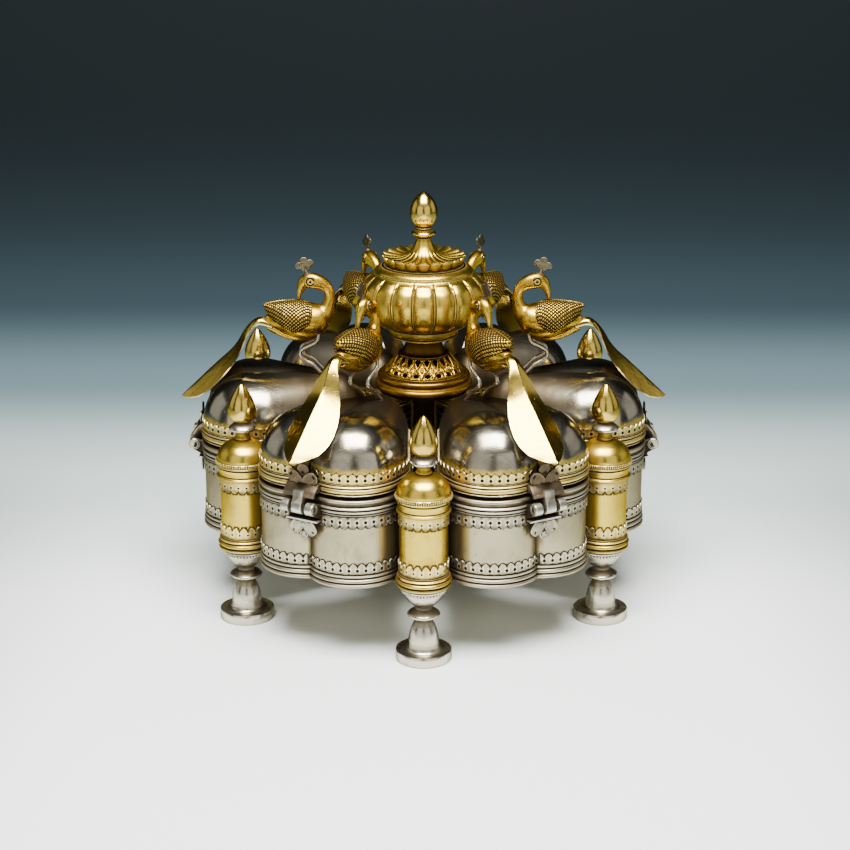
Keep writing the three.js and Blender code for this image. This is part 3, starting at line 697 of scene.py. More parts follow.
# The recess and shelter stored here drive the grime and the painted shade in the metals.
def note_recesses(made, neighbours=(), wide=16.0, reach=6.0, close=1.3):
    """Stores on each vertex how closed in it is, near by and more widely, and how sharp an outer edge it is on."""
    points, faces = [], []
    for item in [*made, *neighbours]:
        start = len(points)
        points.extend(v.co[:] for v in item.data.vertices)
        faces.extend([start + i for i in p.vertices] for p in item.data.polygons)
    near = BVHTree.FromPolygons(points, faces)
    ways = feeler_ways()
    wide, reach, close = wide * MM, reach * MM, close * MM
    for item in made:
        mesh = item.data
        place, normal = surface_arrays(mesh)
        side = np.cross(normal, np.where(np.abs(normal[:, 2:3]) < 0.9, [[0.0, 0.0, 1.0]], [[1.0, 0.0, 0.0]]))
        side /= np.maximum(np.linalg.norm(side, axis=1), 1e-9)[:, None]
        other = np.cross(normal, side)
        start = (place + normal * 0.00004).tolist()
        closed, sheltered = np.zeros(len(place)), np.zeros(len(place))
        for way in ways:
            aim = side * way[0] + other * way[1] + normal * way[2]
            for i, (origin, ray) in enumerate(zip(start, aim.tolist())):
                far = near.ray_cast(origin, ray, wide)[3]
                if far is not None:
                    sheltered[i] += 1 - far / wide
                    closed[i] += 0.65 * max(0.0, 1 - far / reach) + 1.0 * max(0.0, 1 - far / close)
        closed = closed / len(ways)
        note(mesh, "shelter", sheltered / len(ways))
        # Painted shade: points marked to stay black count as fully closed in.
        shade_and_grime = mesh.attributes.get("shade_and_grime")
        if shade_and_grime:
            black = np.zeros(len(place), np.float32)
            shade_and_grime.data.foreach_get("value", black)
            closed = np.maximum(closed, black * 1.5)
        note(mesh, "recess", closed)
        note(mesh, "edge", sharpness(mesh, place, normal))


def sharpness(mesh, place, normal):
    ends = np.empty(len(mesh.edges) * 2, np.int64)
    mesh.edges.foreach_get("vertices", ends)
    a, b = ends.reshape(-1, 2).T
    along = place[b] - place[a]
    along /= np.maximum(np.linalg.norm(along, axis=1), 1e-9)[:, None]
    total, count = np.zeros(len(place)), np.zeros(len(place))
    for i, way in ((a, along), (b, -along)):
        np.add.at(total, i, -(normal[i] * way).sum(1))
        np.add.at(count, i, 1)
    return np.clip(total / np.maximum(count, 1) * 2.2, 0, 1)


def note(mesh, label, values):
    held = mesh.attributes.get(label) or mesh.attributes.new(label, "FLOAT", "POINT")
    held.data.foreach_set("value", np.asarray(values, np.float32))


# ---------- boxes


def box_wall(name):
    """Open tub with reeded base and rim, plain walls, and a collar inside the mouth for the lid."""
    wall = WALL_INSET
    profile = [
        (8.0, BOX_LOW), (1.1, BOX_LOW),
        *reed(34.0, 36.1, 1.1, 0.0), *reed(36.3, 38.4, 1.15, 0.1), *reed(38.65, 40.2, 1.15, 0.4, 6),
        (wall, 40.6),
        *[(wall, z) for z in np.arange(41.2, 48.6, 0.6)],
        *[(wall, z) for z in np.linspace(49.6, 60.6, 8)],
        *[(wall, z) for z in np.arange(61.4, 67.0, 0.6)],
        *reed(67.1, 68.1, 1.15, 0.7, 5), *reed(68.3, 69.8, 1.15, 0.35, 6), *reed(70.0, 71.5, 1.15, 0.1, 6),
        *flow([(1.1, 71.7), (1.15, 72.2), (0.95, 72.8)], 3), *reed(72.95, BOX_RIM, 0.95, 0.0, 7),
        (0.9, BOX_RIM), (2.95, BOX_RIM - 0.05), (3.0, 75.0), (3.0, 77.5), (3.25, 77.95), (3.9, 77.95), (4.2, 77.6),
        (4.2, 71.8), (INNER_INSET, 71.8),
        *[(INNER_INSET, z) for z in np.linspace(68, 38, 6)], (INNER_INSET + 0.3, 35.6), (INNER_INSET + 1.0, 35.2),
        (8.0, 35.2),
    ]
    points, faces = wall_skin(profile)
    count = len(full_plan(0))
    faces.append(tuple(range(count))[::-1])
    faces.append(tuple(len(points) - count + j for j in range(count)))
    return piece(name, points, faces, METALS["box silver"], 28)


def build_box():
    line, silver = WALL_INSET + 0.02, METALS["box silver"]
    return [box_wall("box wall"), strip_round_box("box lower strip", line, 40.6, 4.9, 1.95, silver),
            strip_round_box("box upper strip", line, 61.7, 5.4, 1.7, silver, up=False)]


# ---------- lids


def dome_height(x, y, inset=WALL_INSET, thinner=0.0):
    """Height over the dome's foot of one lobe's ridge, the lobe on the +y side."""
    share = np.linspace(0, 1, 220)
    cx = np.concatenate([np.linspace(LOBE_OUT, SHOULDER_OUT, 20), SHOULDER_OUT + (NOSE_OUT - SHOULDER_OUT) * share])
    cy = np.concatenate([np.full(20, LOBE_SIDE), LOBE_SIDE * (1 - share)])
    radius = np.concatenate([np.full(20, LOBE_RADIUS), LOBE_RADIUS + (NOSE_RADIUS - LOBE_RADIUS) * share]) - inset
    rise = np.concatenate([np.full(20, LOBE_RISE), LOBE_RISE + (NOSE_RISE - LOBE_RISE) * share]) - thinner
    apart = (np.asarray(x)[:, None] - cx) ** 2 + (np.asarray(y)[:, None] - cy) ** 2
    return (rise * np.sqrt(np.clip(1 - apart / radius ** 2, 0, None))).max(1)


def dome_half(inset, thinner, rows, dense):
    """Half of the dome over +y: fans from the ridge out to the foot, and in to the valley on the centreline."""
    rim = half_plan(inset, dense)
    n = [max(3, round(dense * k)) for k in (56, 5, 14, 26, 18)]
    lobe, shoulder, nose = np.array([LOBE_OUT, LOBE_SIDE]), np.array([SHOULDER_OUT, LOBE_SIDE]), np.array([NOSE_OUT, 0.0])
    level = np.linspace(0, 1, n[1], endpoint=False)[:, None]
    slope = np.linspace(0, 1, n[3], endpoint=False)[:, None]
    ridge = np.vstack([
        np.tile(lobe, (n[0], 1)), lobe + level * (shoulder - lobe), np.tile(shoulder, (n[2], 1)),
        shoulder + slope * (nose - shoulder), np.tile(nose, (n[4] + 1, 1))])
    spine = np.vstack([lobe + level * (shoulder - lobe), shoulder + slope * (nose - shoulder), nose])
    valley = np.column_stack([nose[0] + (lobe[0] - nose[0]) * np.linspace(1, 0, len(spine)), np.zeros(len(spine))])
    lean = np.linspace(0, math.acos(LOBE_SIDE / (LOBE_RADIUS - inset)), 14)[::-1]
    cleft = np.column_stack([lobe[0] + LOBE_SIDE * np.tan(lean), np.zeros(len(lean))])
    fans = [
        (rim, ridge, np.sin(np.linspace(0, math.pi / 2, rows))[::-1]),
        (np.vstack([cleft, valley[1:]]), np.vstack([np.tile(lobe, (len(lean), 1)), spine[1:]]),
         np.linspace(1, 0, rows) ** 0.8),
    ]
    points, faces = [], []
    for ends, starts, shares in fans:
        base = sum(map(len, points))
        grid = np.concatenate([starts + (ends - starts) * s for s in shares])
        points.append(grid)
        faces += [[base + i for i in f] for f in bands(rows, len(ends), around=False)]
    flat = np.concatenate(points)
    own = dome_height(flat[:, 0], flat[:, 1], inset, thinner)
    other = dome_height(flat[:, 0], -flat[:, 1], inset, thinner)
    soft = 0.3 * np.clip(own / 3.0, 0, 1)
    height = (own + other) / 2 + np.sqrt(((own - other) / 2) ** 2 + soft ** 2)
    return np.column_stack([flat, height]), faces


def dome_both(inset, thinner, rows, dense, foot):
    points, faces = dome_half(inset, thinner, rows, dense)
    points[:, 2] += foot
    other = points * (1, -1, 1)
    return np.concatenate([points, other]), faces + [[len(points) + i for i in f] for f in faces]


def lid_dome(name):
    """Silver shell: a short upright wall with the two ridges over it, hollow underneath."""
    outer, faces = dome_both(WALL_INSET, 0, 18, 1.0, DOME_FOOT)
    inner, inner_faces = dome_both(INNER_INSET, 1.2, 9, 0.5, DOME_FOOT)
    wall, wall_faces = wall_skin([(WALL_INSET, DOME_FOOT), *[(WALL_INSET, z) for z in (83, 81, 78, 76.7)],
                                  (WALL_INSET + 0.3, 76.5), (INNER_INSET - 0.2, 76.5), (INNER_INSET, 76.7)])
    low, low_faces = wall_skin([(INNER_INSET, 76.7), (INNER_INSET, DOME_FOOT)], 0.5)
    parts, start = [], 0
    all_faces = []
    for p, f in ((outer, faces), (wall, wall_faces), (inner, inner_faces), (low, low_faces)):
        parts.append(p)
        all_faces += [[start + i for i in face] for face in f]
        start += len(p)
    return piece(name, np.concatenate(parts), all_faces, METALS["dome silver"], 50)


def lid_band(name):
    """Gilt band round the foot of the dome: a broad reed and a thin one, under the punched strip."""
    back = WALL_INSET + 0.05
    profile = [(back, 76.5), *reed(76.5, 77.3, 1.1, 0.35, 5), *reed(77.5, 79.8, 1.15, 0.0, 8), *reed(80.0, 81.1, 1.15, 0.4, 6),
               *reed(81.25, 82.0, 1.15, 0.75, 5), (back, 82.1)]
    points, faces = wall_skin(profile + [profile[0]], 0.8)
    return piece(name, points, faces, METALS["strip gilt"], 34)


def build_lid():
    return [lid_dome("lid dome"), lid_band("lid band"),
            strip_round_box("lid strip", WALL_INSET + 0.02, 82.0, 4.5, 1.5, METALS["strip gilt"])]


# ---------- pillars


def pillar_shaft(name):
    profile = [
        (9.4, 34.7), (10.6, 34.6), *reed(34.6, 36.2, 10.7, 12.1, 7), *reed(36.5, 38.6, 10.9, 12.35, 9),
        *reed(38.9, 40.2, 10.8, 11.8, 6), *reed(40.4, 41.1, 10.7, 11.2, 5), (10.6, 41.3),
        *[(10.6, z) for z in np.linspace(42, 68.2, 14)],
        *reed(68.5, 70.5, 10.7, 12.0, 8), *flow([(11.0, 70.7), (11.3, 71.0), (11.35, 72.2), (11.7, 73.6)], 3), (11.1, 73.8),
        *reed(74.0, 75.9, 11.0, 12.35, 8), (11.0, 76.0), (11.3, 76.4),
    ]
    points, faces = lathe(profile, 96)
    return piece(name, points, faces, METALS["gilt"], 30, (0, -PILLAR_CIRCLE, 0))


def pillar_cap(name):
    profile = [
        (11.2, 76.3), (12.1, 76.35), (12.3, 76.7), (12.1, 77.0),
        *flow([(11.8, 77.1), (11.6, 78.9), (10.6, 81.5), (8.5, 83.8), (5.8, 85.3), (3.7, 85.9)], 6),
        *reed(86.0, 87.3, 3.2, 3.6, 6), *flow([(3.2, 87.4), (2.9, 88.3), (3.1, 89.4), (4.2, 90.2)], 4),
    ]
    points, faces = lathe([(0, 76.6)] + profile + [(0, 90.3)], 96)
    return piece(name, points, faces, METALS["gilt"], 40, (0, -PILLAR_CIRCLE, 0))


def pillar_knop(name):
    profile = [(0, 90.0), *flow([(4.0, 90.0), (5.6, 90.4), (6.15, 91.3), (5.9, 92.0), (4.8, 93.0), (3.6, 93.8), (3.2, 94.6)], 4),
               (0, 94.8)]
    points, faces = lathe(profile, 64)
    return piece(name, points, faces, METALS["foot silver"], 40, (0, -PILLAR_CIRCLE, 0))


def pillar_bud(name):
    profile = [(0, 94.2), *flow([(2.9, 94.3), (4.7, 95.2), (5.95, 97.3), (6.35, 99.9), (5.7, 103.3), (4.1, 106.9),
                                 (2.2, 110.0), (0.8, 111.7), (0.0, 112.0)], 5)]
    points, faces = lathe(profile, 64)
    return piece(name, points, faces, METALS["bright gilt"], 50, (0, -PILLAR_CIRCLE, 0))


def pillar_foot(name):
    profile = [
        (0, 0), (11.9, 0), (12.25, 0.2), (12.4, 0.6), (12.4, 4.3), (12.25, 4.5),
        *flow([(12.0, 4.55), (10.4, 4.2), (9.0, 4.25), (7.9, 4.7), (7.1, 5.7), (6.8, 7.2), (6.65, 9.6), (6.2, 12.4), (5.3, 15.3),
               (4.1, 17.6), (3.4, 18.9)], 4),
        *flow([(4.2, 19.3), (6.4, 19.8), (7.3, 20.7), (7.1, 21.6), (5.4, 22.7), (3.9, 23.5), (3.5, 24.4)], 4),
        *flow([(4.6, 25.4), (6.6, 27.0), (8.2, 29.0), (9.1, 30.8), (9.3, 31.8)], 4),
        (9.2, 32.3), (9.2, 33.2), (10.6, 33.3), (10.6, 34.25), (0, 34.3),
    ]
    points, faces = lathe(profile, 80)
    return piece(name, points, faces, METALS["foot silver"], 38, (0, -PILLAR_CIRCLE, 0))


def build_pillar():
    gilt, strip, silver = METALS["gilt"], METALS["strip gilt"], METALS["foot silver"]
    return {
        "pillar_shaft": [
            pillar_shaft("pillar shaft"), pillar_cap("pillar cap"),
            strip_round_pillar("pillar lower strip", 10.62, 41.2, 5.6, 2.1, strip),
            strip_round_pillar("pillar upper strip", 10.62, 63.3, 5.2, 1.5, strip, up=False),
            beads_round("pillar cap teeth", ball(0.42, 4, 6, 1.8), 12.3, 76.3, 76, gilt, 0.12)],
        "pillar_knop": [pillar_knop("pillar knop")],
        "pillar_bud": [pillar_bud("pillar bud")],
        "pillar_foot": [
            pillar_foot("pillar foot"), beads_round("pillar pearls", ball(0.66), 9.55, 32.55, 42, silver)],
    }


# ---------- centre vessel


FOOT_LOW, BOWL_LOW, BOWL_RIM = 97.3, 121.6, 155.2
LID_SEAT = 155.5
PIERCINGS, GADROONS, PETALS = 20, 18, 20


def pierced_cone(name):
    """Wall of the vessel's foot: a round hole and a drop-shaped one in each pitch, with raised cells between."""
    low, high = np.array([18.7, 104.7]), np.array([11.5, 113.3])
    length = float(np.linalg.norm(high - low))
    wide = math.radians(360 / PIERCINGS) * 15
    ball_up, ball_radius = 2.1, 1.1
    drop = np.array([(0.0, 6.4), (0.55, 7.3), (1.15, 8.4), (1.5, 9.3), (1.4, 10.0), (0.8, 10.4), (0.0, 10.5)])
    drop = np.vstack([drop, drop[-2:0:-1] * (-1, 1)])
    turn = np.linspace(0, 2 * math.pi, 20, endpoint=False)
    disc = np.column_stack([ball_radius * np.cos(turn), ball_up + ball_radius * np.sin(turn)])
    cell = np.array(flow([(0, 10.4), (0.3, 8.9), (1.0, 7.0), (1.8, 5.3), (1.75, 4.0), (1.0, 3.0), (0.75, 1.9), (0, 0.7)], 8))

    def inside(p, loop):
        a, b = loop, np.roll(loop, -1, 0)
        cross = (a[:, 1] > p[1]) != (b[:, 1] > p[1])
        at = a[:, 0] + (p[1] - a[:, 1]) / np.where(cross, b[:, 1] - a[:, 1], 1) * (b[:, 0] - a[:, 0])
        return bool((cross & (p[0] < at)).sum() % 2)

    across, up = np.linspace(-wide / 2, wide / 2, 23), np.linspace(0, length, 50)
    grid = [(a, b) for b in up for a in across]
    keep = []
    for a, b in grid:
        near = min(np.hypot(*(loop - (a, b)).T).min() for loop in (disc, drop))
        at_side = abs(abs(a) - wide / 2) < 1e-6
        if at_side or near > 0.13 and not inside((a, b), disc) and not inside((a, b), drop):
            keep.append((a, b))
    flat = [*disc.tolist(), *drop.tolist(), *keep]
    loops = [(range(len(disc))), range(len(disc), len(disc) + len(drop))]
    edges = [(loop[i - 1], loop[i]) for loop in loops for i in range(len(loop))]
    found = delaunay_2d_cdt([Vector(p) for p in flat], edges, [], 0, 1e-5)
    flat = np.array([p[:] for p in found[0]])
    faces = [f for f in found[2]
             if not inside(flat[list(f)].mean(0), disc) and not inside(flat[list(f)].mean(0), drop)]

    def ridge(points, line, half):
        gap = np.sqrt(((points[:, None, :] - line[None]) ** 2).sum(2)).min(1)
        return np.exp(-(gap / half) ** 2)

    oval = np.column_stack([0.5 * np.cos(turn), 4.9 + 1.15 * np.sin(turn)])
    outline = np.vstack([cell, cell * (-1, 1)])
    raised = np.zeros(len(flat))
    for side in (-wide / 2, wide / 2):
        raised = np.maximum(raised, 0.42 * ridge(flat, outline + (side, 0), 0.27))
        raised = np.maximum(raised, 0.32 * ridge(flat, oval + (side, 0), 0.2))
    rim = np.column_stack([1.42 * np.cos(turn), ball_up + 1.42 * np.sin(turn)])
    raised = np.maximum(raised, 0.3 * ridge(flat, rim, 0.22))
    slope = (high - low) / length
    out = np.array([slope[1], -slope[0]])
    sheets = []
    for depth, relief in ((0.0, raised), (-1.0, 0 * raised)):
        section = low + flat[:, 1:2] * slope + (depth + relief)[:, None] * out
        sheets.append(section)
    points, all_faces = [], []
    for k in range(PIERCINGS):
        for n, section in enumerate(sheets):
            angle = flat[:, 0] / 15 + math.radians(6) + 2 * math.pi * k / PIERCINGS - math.pi / 2
            base = len(points) * len(flat)
            points.append(np.column_stack([section[:, 0] * np.cos(angle), section[:, 0] * np.sin(angle), section[:, 1]]))
            all_faces += [[base + i for i in (f if n == 0 else f[::-1])] for f in faces]
        start, back = (len(points) - 2) * len(flat), (len(points) - 1) * len(flat)
        lookup = {tuple(np.round(p, 4)): i for i, p in enumerate(flat)}
        for loop in (disc, drop):
            ids = [lookup[tuple(np.round(p, 4))] for p in loop]
            all_faces += [(start + ids[i - 1], start + ids[i], back + ids[i], back + ids[i - 1]) for i in range(len(ids))]
        for level in (0, length):
            row = sorted((i for i, p in enumerate(flat) if abs(p[1] - level) < 1e-4), key=lambda i: flat[i, 0])
            all_faces += [(start + a, start + b, back + b, back + a) for a, b in zip(row, row[1:])]
    return piece(name, np.concatenate(points), all_faces, METALS["deep gilt"], 40)


def build_vessel_foot():
    ring = [(20.4, FOOT_LOW), (22.3, FOOT_LOW), *reed(97.4, 100.1, 22.0, 22.9, 9), (21.6, 100.3),
            *flow([(21.2, 100.5), (20.9, 101.0), (21.1, 101.5)], 3), *reed(101.6, 103.9, 20.9, 21.75, 9),
            (20.3, 104.05), *reed(104.1, 105.0, 19.3, 19.8, 5), (18.9, 105.05), (17.8, 104.6), (18.8, 102), (20.2, 98.5)]
    points, faces = lathe(ring + [ring[0]], 120)
    base = piece("vessel base ring", points, faces, METALS["deep gilt"], 34)
    neck = [(10.6, 112.6), (11.9, 112.6), *reed(112.7, 113.7, 11.6, 12.0, 6), (11.3, 113.8),
            *flow([(11.2, 113.9), (10.2, 114.6), (9.3, 116.2), (8.4, 118.4), (7.9, 120.2), (7.9, 121.3)], 5),
            (0, 121.3)]
    inner = [(0, 120.2), (7.0, 119.9), (8.4, 116.0), (10.0, 113.0)]
    points, faces = lathe(neck + inner + [neck[0]], 96)
    # Painted shade: the neck takes a darker copy of the gilt, for the shade under the bowl.
    return [base, pierced_cone("vessel pierced wall"), piece("vessel neck", points, faces, METALS["gilt painted as shade"], 34)]


def build_bowl():
    """Bowl of bulging panels with square shoulders, divided by narrow beads."""
    body = flow([(16.6, 126.4), (19.6, 127.4), (24.4, 130.2), (28.0, 134.4), (29.3, 139.6), (29.2, 143.6), (27.7, 147.4),
                 (25.0, 150.3), (23.4, 151.6), (22.8, 152.2)], 9)
    share = np.array([-10, -9.7, -9.3, -8.95, -8.6, -8.3, -7.8, -7, -6, -4.8, -3.4, -1.7, 0, 1.7, 3.4, 4.8, 6, 7, 7.8, 8.3,
                      8.6, 8.95, 9.3, 9.7])
    own = np.tile(share, GADROONS)
    turn = np.radians(own + np.repeat(np.arange(GADROONS) * 20.0, len(share)) - 90)
    rows = []
    for r, z in body:
        top = 151.2 - 0.9 * (np.abs(own) / 8.5) ** 4
        low = 128.1 + 1.2 * (np.abs(own) / 8.5) ** 3
        fade = np.clip((top - z) / 0.55, 0, 1) * np.clip((z - low) / 1.6, 0, 1)
        fade = fade * fade * (3 - 2 * fade)
        swell = np.where(np.abs(own) < 8.4, 1.0 * np.sqrt(np.clip(1 - (own / 8.6) ** 2, 0, 1)) - 0.35, -0.5)
        bead = 0.52 * np.exp(-((np.abs(own) - 10) / 0.75) ** 2)
        bead = bead * np.clip((152.0 - z) / 0.8, 0, 1) * np.clip((z - 126.6) / 1.5, 0, 1)
        radius = r + fade * swell + bead
        rows.append(np.column_stack([radius * np.cos(turn), radius * np.sin(turn), np.full(len(turn), z)]))
    around = len(turn)
    collar = [(0, 121.6), (14.9, 121.6), *reed(121.7, 122.7, 15.2, 15.9, 5), (15.5, 122.9),
              *flow([(15.7, 123.2), (16.1, 124.4), (16.2, 125.2)], 3), *reed(125.4, 126.2, 16.2, 16.7, 4)]
    mouth = [(22.7, 152.3), (23.0, 152.5), (23.0, 152.9), *flow([(22.7, 153.1), (22.3, 153.9), (21.3, 154.7), (20.0, 155.15)], 4),
             (19.5, BOWL_RIM), (19.4, 152), (22.6, 149.8), (26.6, 146), (28.2, 141), (27.4, 135.5),
             (23.4, 130.6), (17, 127.8), (0, 126.4)]

    def plain(profile):
        return [np.column_stack([r * np.cos(turn), r * np.sin(turn), np.full(around, z)]) for r, z in profile]

    rings = plain(collar) + rows + plain(mouth)
    return [piece("vessel bowl", np.concatenate(rings), bands(len(rings), around), METALS["gilt"], 30)]


def build_vessel_lid():
    """Flower-like lid: ribs run down a hollow cone and end in petals that turn over at the rim."""
    crest = flow([(3.4, 167.6), (3.8, 166.4), (4.7, 164.3), (6.3, 161.9), (8.4, 160.3), (11.3, 159.6), (14.6, 159.7),
                  (17.4, 160.2), (19.0, 160.7)], 4)
    valley = flow([(3.4, 167.6), (3.8, 166.4), (4.7, 164.3), (6.25, 161.8), (8.25, 159.9), (11.15, 158.7), (14.3, 158.2),
                   (16.6, 158.1), (17.7, 158.0)], 4)
    share = np.array([-1, -0.93, -0.84, -0.72, -0.56, -0.38, -0.19, 0, 0.19, 0.38, 0.56, 0.72, 0.84, 0.93])
    own = np.tile(share, PETALS)
    pitch = 360 / PETALS
    turn = np.radians(own * pitch / 2 + np.repeat(np.arange(PETALS) * pitch, len(share)) - 90)
    high = np.sqrt(np.clip(1 - own ** 2, 0, 1)) ** 0.8
    rings = []
    for (rc, zc), (rv, zv) in zip(crest, valley):
        r, z = rv + (rc - rv) * high, zv + (zc - zv) * high
        rings.append(np.column_stack([r * np.cos(turn), r * np.sin(turn), z]))
    drop = 4.7 * (1 - 0.72 * np.abs(own) ** 2.6)
    top = 158.0 + 2.6 * high
    for t, out in ((0.0, 0.55), (0.08, 0.72), (0.2, 0.66), (0.4, 0.3), (0.6, -0.15), (0.8, -0.65), (0.94, -1.1), (1.0, -1.4)):
        r = 17.75 + (1.25 + out) * high - 0.2 * t
        rings.append(np.column_stack([r * np.cos(turn), r * np.sin(turn), top - drop * t]))
    inner = [(17.0, 156.4), (17.0, 155.6), (18.6, 155.5), (18.6, 155.5), (18.4, 155.3), (18.3, 152.2), (17.2, 152.1), (17.1, 155.2),
             (15.4, 156.8), (9.8, 157.6), (5.6, 160.0), (4.2, 163.6), (0, 165.2)]
    for r, z in inner:
        rings.append(np.column_stack([r * np.cos(turn), r * np.sin(turn), np.full(len(turn), z)]))
    top_disc = [(0, 168.3), (3.2, 168.3), (3.45, 168.1)]
    first = [np.column_stack([r * np.cos(turn), r * np.sin(turn), np.full(len(turn), z)]) for r, z in top_disc]
    rings = first + rings
    return [piece("vessel lid", np.concatenate(rings), bands(len(rings), len(turn)), METALS["gilt"], 46)]


def build_finial():
    profile = [(0, 168.6), (3.3, 168.6), *flow([(3.7, 168.7), (4.6, 169.1), (5.4, 169.7)], 4),
               *flow([(5.65, 170.1), (5.6, 170.7), (4.8, 171.4), (3.6, 171.9), (3.1, 172.3)], 4), *reed(172.4, 173.3, 3.1, 3.8, 6),
               *flow([(3.2, 173.5), (4.1, 174.2), (5.3, 175.9), (6.1, 177.9), (6.35, 180.0), (5.95, 182.9), (4.6, 185.8),
                      (2.7, 188.1), (1.0, 189.4), (0.0, 189.7)], 5)]
    points, faces = lathe(profile, 72)
    return [piece("vessel finial", points, faces, METALS["bright gilt"], 44)]


# ---------- hinges


HINGE_OUT, HINGE_UP, HALF_HINGE = 108.15, 70.3, 7.8
KNUCKLE, PIN_RADIUS = 2.8, 1.35


def stack(name, outline, levels, put, material, crease=40):
    """Closed plate from scaled copies of an outline. Each level is a scale and a height."""
    outline = np.asarray(outline, float)
    centre = outline.mean(0)
    rings = []
    for scale, height in levels:
        flat = centre + (outline - centre) * scale
        rings.append(put(flat[:, 0], flat[:, 1], np.full(len(flat), float(height))))
    count = len(outline)
    faces = bands(len(rings), count)
    faces.append(tuple(range(count))[::-1])
    faces.append(tuple((len(rings) - 1) * count + j for j in range(count)))
    return piece(name, np.concatenate(rings), faces, material, crease)


def ring_round(name, centre, major, minor, put, material, sides=28, round_sides=8):
    turn, swing = np.meshgrid(np.linspace(0, 2 * math.pi, sides, endpoint=False),
                              np.linspace(0, 2 * math.pi, round_sides, endpoint=False), indexing="ij")
    reach = major + minor * np.cos(swing)
    points = put(centre[0] + (reach * np.cos(turn)).ravel(), centre[1] + (reach * np.sin(turn)).ravel(),
                 (minor * np.sin(swing)).ravel())
    faces = bands(sides, round_sides)
    last = (sides - 1) * round_sides
    faces += [(last + j, last + (j + 1) % round_sides, (j + 1) % round_sides, j) for j in range(round_sides)]
    return piece(name, points, faces, material, 60)


def leaf_outline(length, half, blunt=0.62):
    """Oval leaf with its root at the origin, pointing along the second axis."""
    t = np.linspace(0, math.pi, 22)
    widths = half * np.sin(t) ** blunt
    along = length * (1 - np.cos(t)) / 2
    return np.vstack([np.column_stack([widths, along]), np.column_stack([-widths[-2:0:-1], along[-2:0:-1]])])


def hinge_petals(label, root, direction, front, leaves, material):
    """Leaves against the cleft, each engraved with a ring. A leaf is its lean, side, length, half width and distance out."""
    made = []
    for number, (lean, side, length, half, out) in enumerate(leaves):
        c, s = math.cos(math.radians(lean)), math.sin(math.radians(lean))

        def put(a, b, h, c=c, s=s, side=side, out=out):
            return np.column_stack([front + out + h, side + a * c + b * s, root + direction * (b * c - a * s)])

        name = f"{label} leaf {number}"
        levels = ((0.97, 0.0), (1.0, 0.1), (1.0, 0.5), (0.95, 0.66), (0.9, 0.6), (0.5, 0.7))
        made.append(stack(name, leaf_outline(length, half), levels, put, material, 34))

        def on_face(a, b, h, put=put):
            return put(a, b, h + 0.66)

        made.append(ring_round(name + " ring", (0, length * 0.6), 1.2, 0.12, on_face, material, 24, 6))
    return made


def hinge_block(name, x0, x1, y0, y1, z0, z1, soft, material):
    outline = np.array([(x0, z0), (x1, z0), (x1, z1), (x0, z1)], float)
    steps = np.linspace(0, 1, 5, endpoint=False)
    outline = np.concatenate([a + (b - a) * steps[:, None] for a, b in zip(outline, np.roll(outline, -1, 0))])
    half = min(x1 - x0, z1 - z0) / 2
    shrink = 1 - soft / half

    def put(a, b, h):
        return np.column_stack([a, h, b])

    return stack(name, outline, ((shrink, y0), (1.0, y0 + soft), (1.0, y1 - soft), (shrink, y1)), put, material, 34)


def knuckle_outline(arm_back, arm_low, arm_high):
    """Round eye of a knuckle with its arm back to the plate, seen along the hinge."""
    eye = [(HINGE_OUT + KNUCKLE * math.cos(t), HINGE_UP + KNUCKLE * math.sin(t)) for t in np.linspace(-math.pi / 2, 0.72 * math.pi, 26)]
    return np.array([(arm_back, arm_low), *eye, (arm_back, arm_high)])


def build_lower_leaf():
    silver = METALS["hinge silver"]
    made = [hinge_block("lower plate", 99.5, 103.0, -HALF_HINGE, HALF_HINGE, 63.0, 68.9, 0.3, silver),
            hinge_block("lower ledge", 100.0, 106.2, -HALF_HINGE - 0.4, HALF_HINGE + 0.4, 63.5, 64.2, 0.2, silver)]
    made += hinge_petals("lower", 63.6, -1, 103.9, ((0, 0.0, 8.9, 2.2, 0.0), (38, 0.7, 8.1, 2.9, 0.6), (-38, -0.7, 8.1, 2.9, 0.6)),
                         silver)
    for side in (1, -1):
        y0, y1 = sorted((side * HALF_HINGE, side * (HALF_HINGE - 3.5)))

        def put(a, b, h):
            return np.column_stack([a, h, b])

        outline = knuckle_outline(102.0, 64.0, 70.6)
        made.append(stack(f"lug {side}", outline, ((0.9, y0), (1.0, y0 + 0.28), (1.0, y1 - 0.28), (0.9, y1)), put, silver, 34))

        def on_end(a, b, h, side=side):
            return np.column_stack([a, side * (HALF_HINGE + h), b])

        for major, minor in ((2.35, 0.2), (1.62, 0.22)):
            made.append(ring_round(f"lug ring {side} {major}", (HINGE_OUT, HINGE_UP), major, minor, on_end, silver))
    return made


